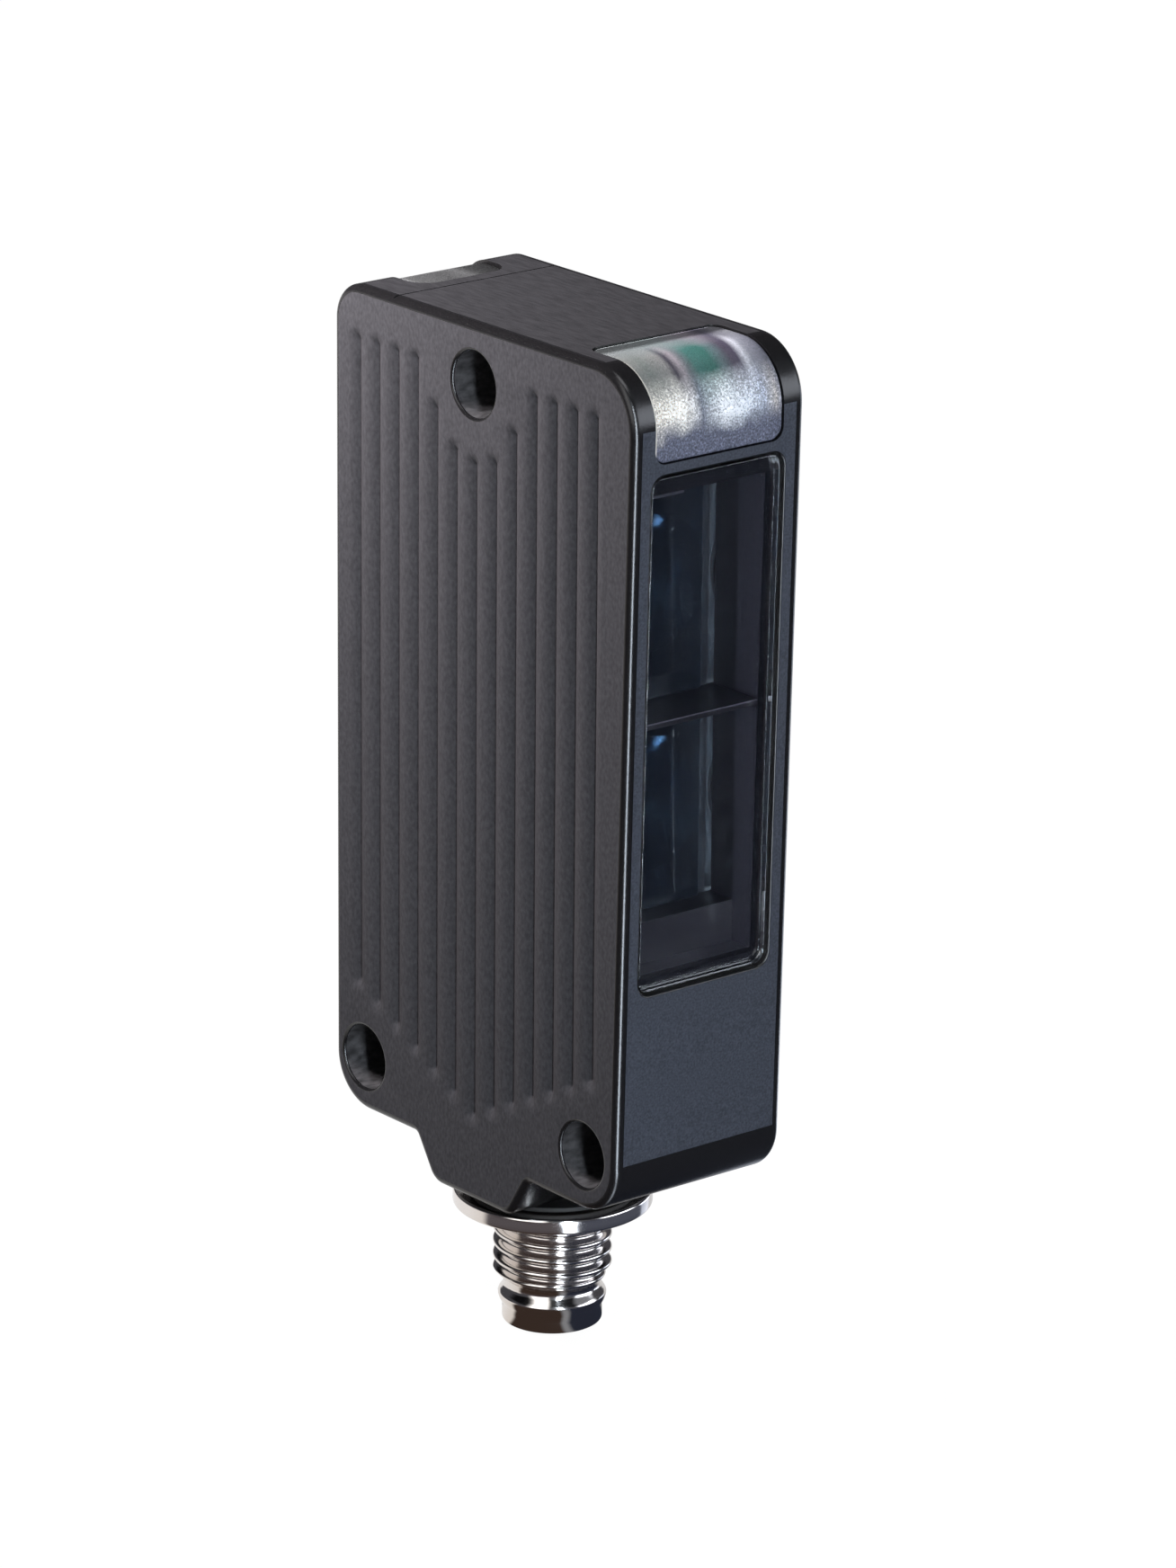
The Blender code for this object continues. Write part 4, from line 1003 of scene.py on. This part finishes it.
def studio_floor():
    """A wide floor that shows white and keeps the shadow, and lies dark with bright sectors in reflections.

    In gloss it is bright behind the sensor, has a narrow bright strip that runs away to the front and a
    fainter one to the right, and is dark elsewhere with a faint bluish ring, as a dark studio looks in
    polished metal.
    """
    reach, below = 3.0, -0.0002
    mesh = bpy.data.meshes.new("studio_floor")
    mesh.from_pydata([(-reach, -reach, below), (reach, -reach, below), (reach, reach, below),
                      (-reach, reach, below)], [], [(0, 1, 2, 3)])
    floor = bpy.data.objects.new("studio_floor", mesh)
    bpy.context.scene.collection.objects.link(floor)
    finish, shader = shader_finish("studio_white", (0.12, 0.12, 0.12), 0.9)
    nodes, links = finish.node_tree.nodes, finish.node_tree.links
    plain, mirrored = plain_and_mirrored(finish)
    white = glow(finish, "ShaderNodeEmission", 1.16, (1.0, 1.0, 1.0))
    shown = mixed(finish, worked_out(finish, "MULTIPLY", plain, 0.85), shader.outputs["BSDF"], white)
    place, turn = place_and_turn(finish)
    length = nodes.new("ShaderNodeVectorMath")
    length.operation = "LENGTH"
    links.new(place, length.inputs[0])
    decimetres = worked_out(finish, "MULTIPLY", length.outputs["Value"], 10.0)

    # What mirrored rays see
    brown, blue = (0.045, 0.030, 0.024), (0.022, 0.026, 0.042)
    grey, ring = (0.25, 0.26, 0.28), (0.06, 0.065, 0.08)
    bands = ramp(finish, turn, [
        (0.0, brown), (0.165, brown), (0.185, grey), (0.20, grey), (0.225, blue), (0.47, blue),
        (0.52, (0.6, 0.6, 0.6)), (0.64, (0.85, 0.85, 0.85)), (0.86, (0.88, 0.86, 0.84)),
        (0.92, (0.8, 0.76, 0.72)), (0.94, brown)])
    lift = ramp(finish, decimetres, [(0.08, 0.0), (0.25, ring), (0.42, ring), (0.8, (0.01, 0.01, 0.015))])
    sectors = glow(finish, "ShaderNodeEmission", 1.0, blend(finish, "ADD", 1.0, bands, lift))
    pale, faint = (0.78, 0.88, 1.0), (0.1, 0.11, 0.13)
    narrow = ramp(finish, turn, [
        (0.168, 0.0), (0.18, pale), (0.20, pale), (0.212, 0.0), (0.45, 0.0), (0.46, faint), (0.50, faint),
        (0.52, 0.0)])
    far = ramp(finish, decimetres, [(0.12, 0.0), (0.20, 0.25), (0.35, 0.18), (0.48, 1.0)])
    strips = glow(finish, "ShaderNodeEmission", 26.0, blend(finish, "MULTIPLY", 1.0, narrow, far))
    bright = nodes.new("ShaderNodeAddShader")
    links.new(sectors, bright.inputs[0])
    links.new(strips, bright.inputs[1])
    everything = mixed(finish, mirrored, shown, bright.outputs["Shader"])
    links.new(everything, nodes["Material Output"].inputs["Surface"])
    floor.data.materials.append(finish)


def studio_world():
    """A dim even room that shows white behind the sensor and has a tall and a low bright window in gloss."""
    world = bpy.data.worlds.new("studio")
    bpy.context.scene.world = world
    world.use_nodes = True
    nodes, links = world.node_tree.nodes, world.node_tree.links
    room = nodes["Background"]
    room.inputs["Color"].default_value = (0.92, 0.95, 1.0, 1.0)
    room.inputs["Strength"].default_value = 0.06
    plain, mirrored = plain_and_mirrored(world)
    white = glow(world, "ShaderNodeBackground", 1.0, (1.0, 1.0, 1.0))
    shown = mixed(world, plain, room.outputs["Background"], white)
    place, turn = place_and_turn(world)
    height = nodes.new("ShaderNodeSeparateXYZ")
    links.new(place, height.inputs["Vector"])
    dim, pale = (0.013, 0.013, 0.015), (0.70, 0.74, 0.82)
    left = ramp(world, turn, [(0.0, 0.1), (0.02, 0.35), (0.11, 0.35), (0.13, 0.0), (0.98, 0.0), (1.0, 0.1)])
    right = ramp(world, turn, [(0.29, dim), (0.32, pale), (0.41, pale), (0.44, dim)])
    tall = ramp(world, height.outputs["Z"], [(0.85, 1.0), (0.95, 0.1)])
    low = ramp(world, height.outputs["Z"], [(0.36, 1.0), (0.46, 0.06)])
    windows = blend(world, "ADD", 1.0, blend(world, "MULTIPLY", 1.0, left, tall),
                    blend(world, "MULTIPLY", 1.0, right, low))
    everything = mixed(world, mirrored, shown, glow(world, "ShaderNodeBackground", 5.0, windows))
    links.new(everything, nodes["World Output"].inputs["Surface"])


def softbox(name, place, width, height, power, colour, mirrored=True):
    """An area lamp at a place in metres that faces the middle of the sensor; gloss may leave it out."""
    lamp_data = bpy.data.lights.new(name, "AREA")
    lamp_data.shape = "RECTANGLE"
    lamp_data.size, lamp_data.size_y = width, height
    lamp_data.energy = power
    lamp_data.color = colour
    box = bpy.data.objects.new(name, lamp_data)
    bpy.context.scene.collection.objects.link(box)
    box.location = place
    box.visible_camera = False
    box.visible_transmission = False
    box.visible_glossy = mirrored
    aim = Vector((0.0, 0.0, 0.045)) - Vector(place)
    box.rotation_mode = "QUATERNION"
    box.rotation_quaternion = aim.to_track_quat("-Z", "Y")


def photo_camera():
    """The camera of the photograph: azimuth, elevation and roll round its aim, at its distance."""
    azimuth, elevation, roll = math.radians(-39.135), math.radians(18.246), math.radians(0.491)
    back = Vector((math.sin(azimuth) * math.cos(elevation), -math.cos(azimuth) * math.cos(elevation),
                   math.sin(elevation)))
    right = (-back).cross(Vector((0, 0, 1))).normalized()
    up = right.cross(-back)
    across = math.cos(roll) * right + math.sin(roll) * up
    upwards = -math.sin(roll) * right + math.cos(roll) * up
    camera_data = bpy.data.cameras.new("photo_camera")
    camera_data.lens = 171.72
    camera_data.sensor_width = 36.0
    camera_data.clip_start = 0.01
    camera_data.clip_end = 20.0
    camera = bpy.data.objects.new("photo_camera", camera_data)
    bpy.context.scene.collection.objects.link(camera)
    place = Vector((-0.29267, -0.36229, 0.19137))
    camera.matrix_world = Matrix((
        (across.x, upwards.x, back.x, place.x), (across.y, upwards.y, back.y, place.y),
        (across.z, upwards.z, back.z, place.z), (0, 0, 0, 1)))
    bpy.context.scene.camera = camera


studio_floor()
studio_world()
softbox("key_left_back", (-0.046, 0.041, 0.108), 0.03, 0.03, 0.214, (1.0, 0.965, 0.985), mirrored=False)
softbox("front_left", (-0.29, -0.71, 0.25), 0.05, 0.5, 5.2, (0.82, 0.91, 1.0))
softbox("overhead", (0.05, -0.1, 0.6), 0.3, 0.3, 0.8, (0.96, 0.97, 1.0))
softbox("fill_right_back", (0.45, 0.20, 0.35), 0.2, 0.2, 3.5, (0.97, 0.98, 1.0), mirrored=False)
photo_camera()
bpy.context.scene.view_settings.view_transform = "Standard"
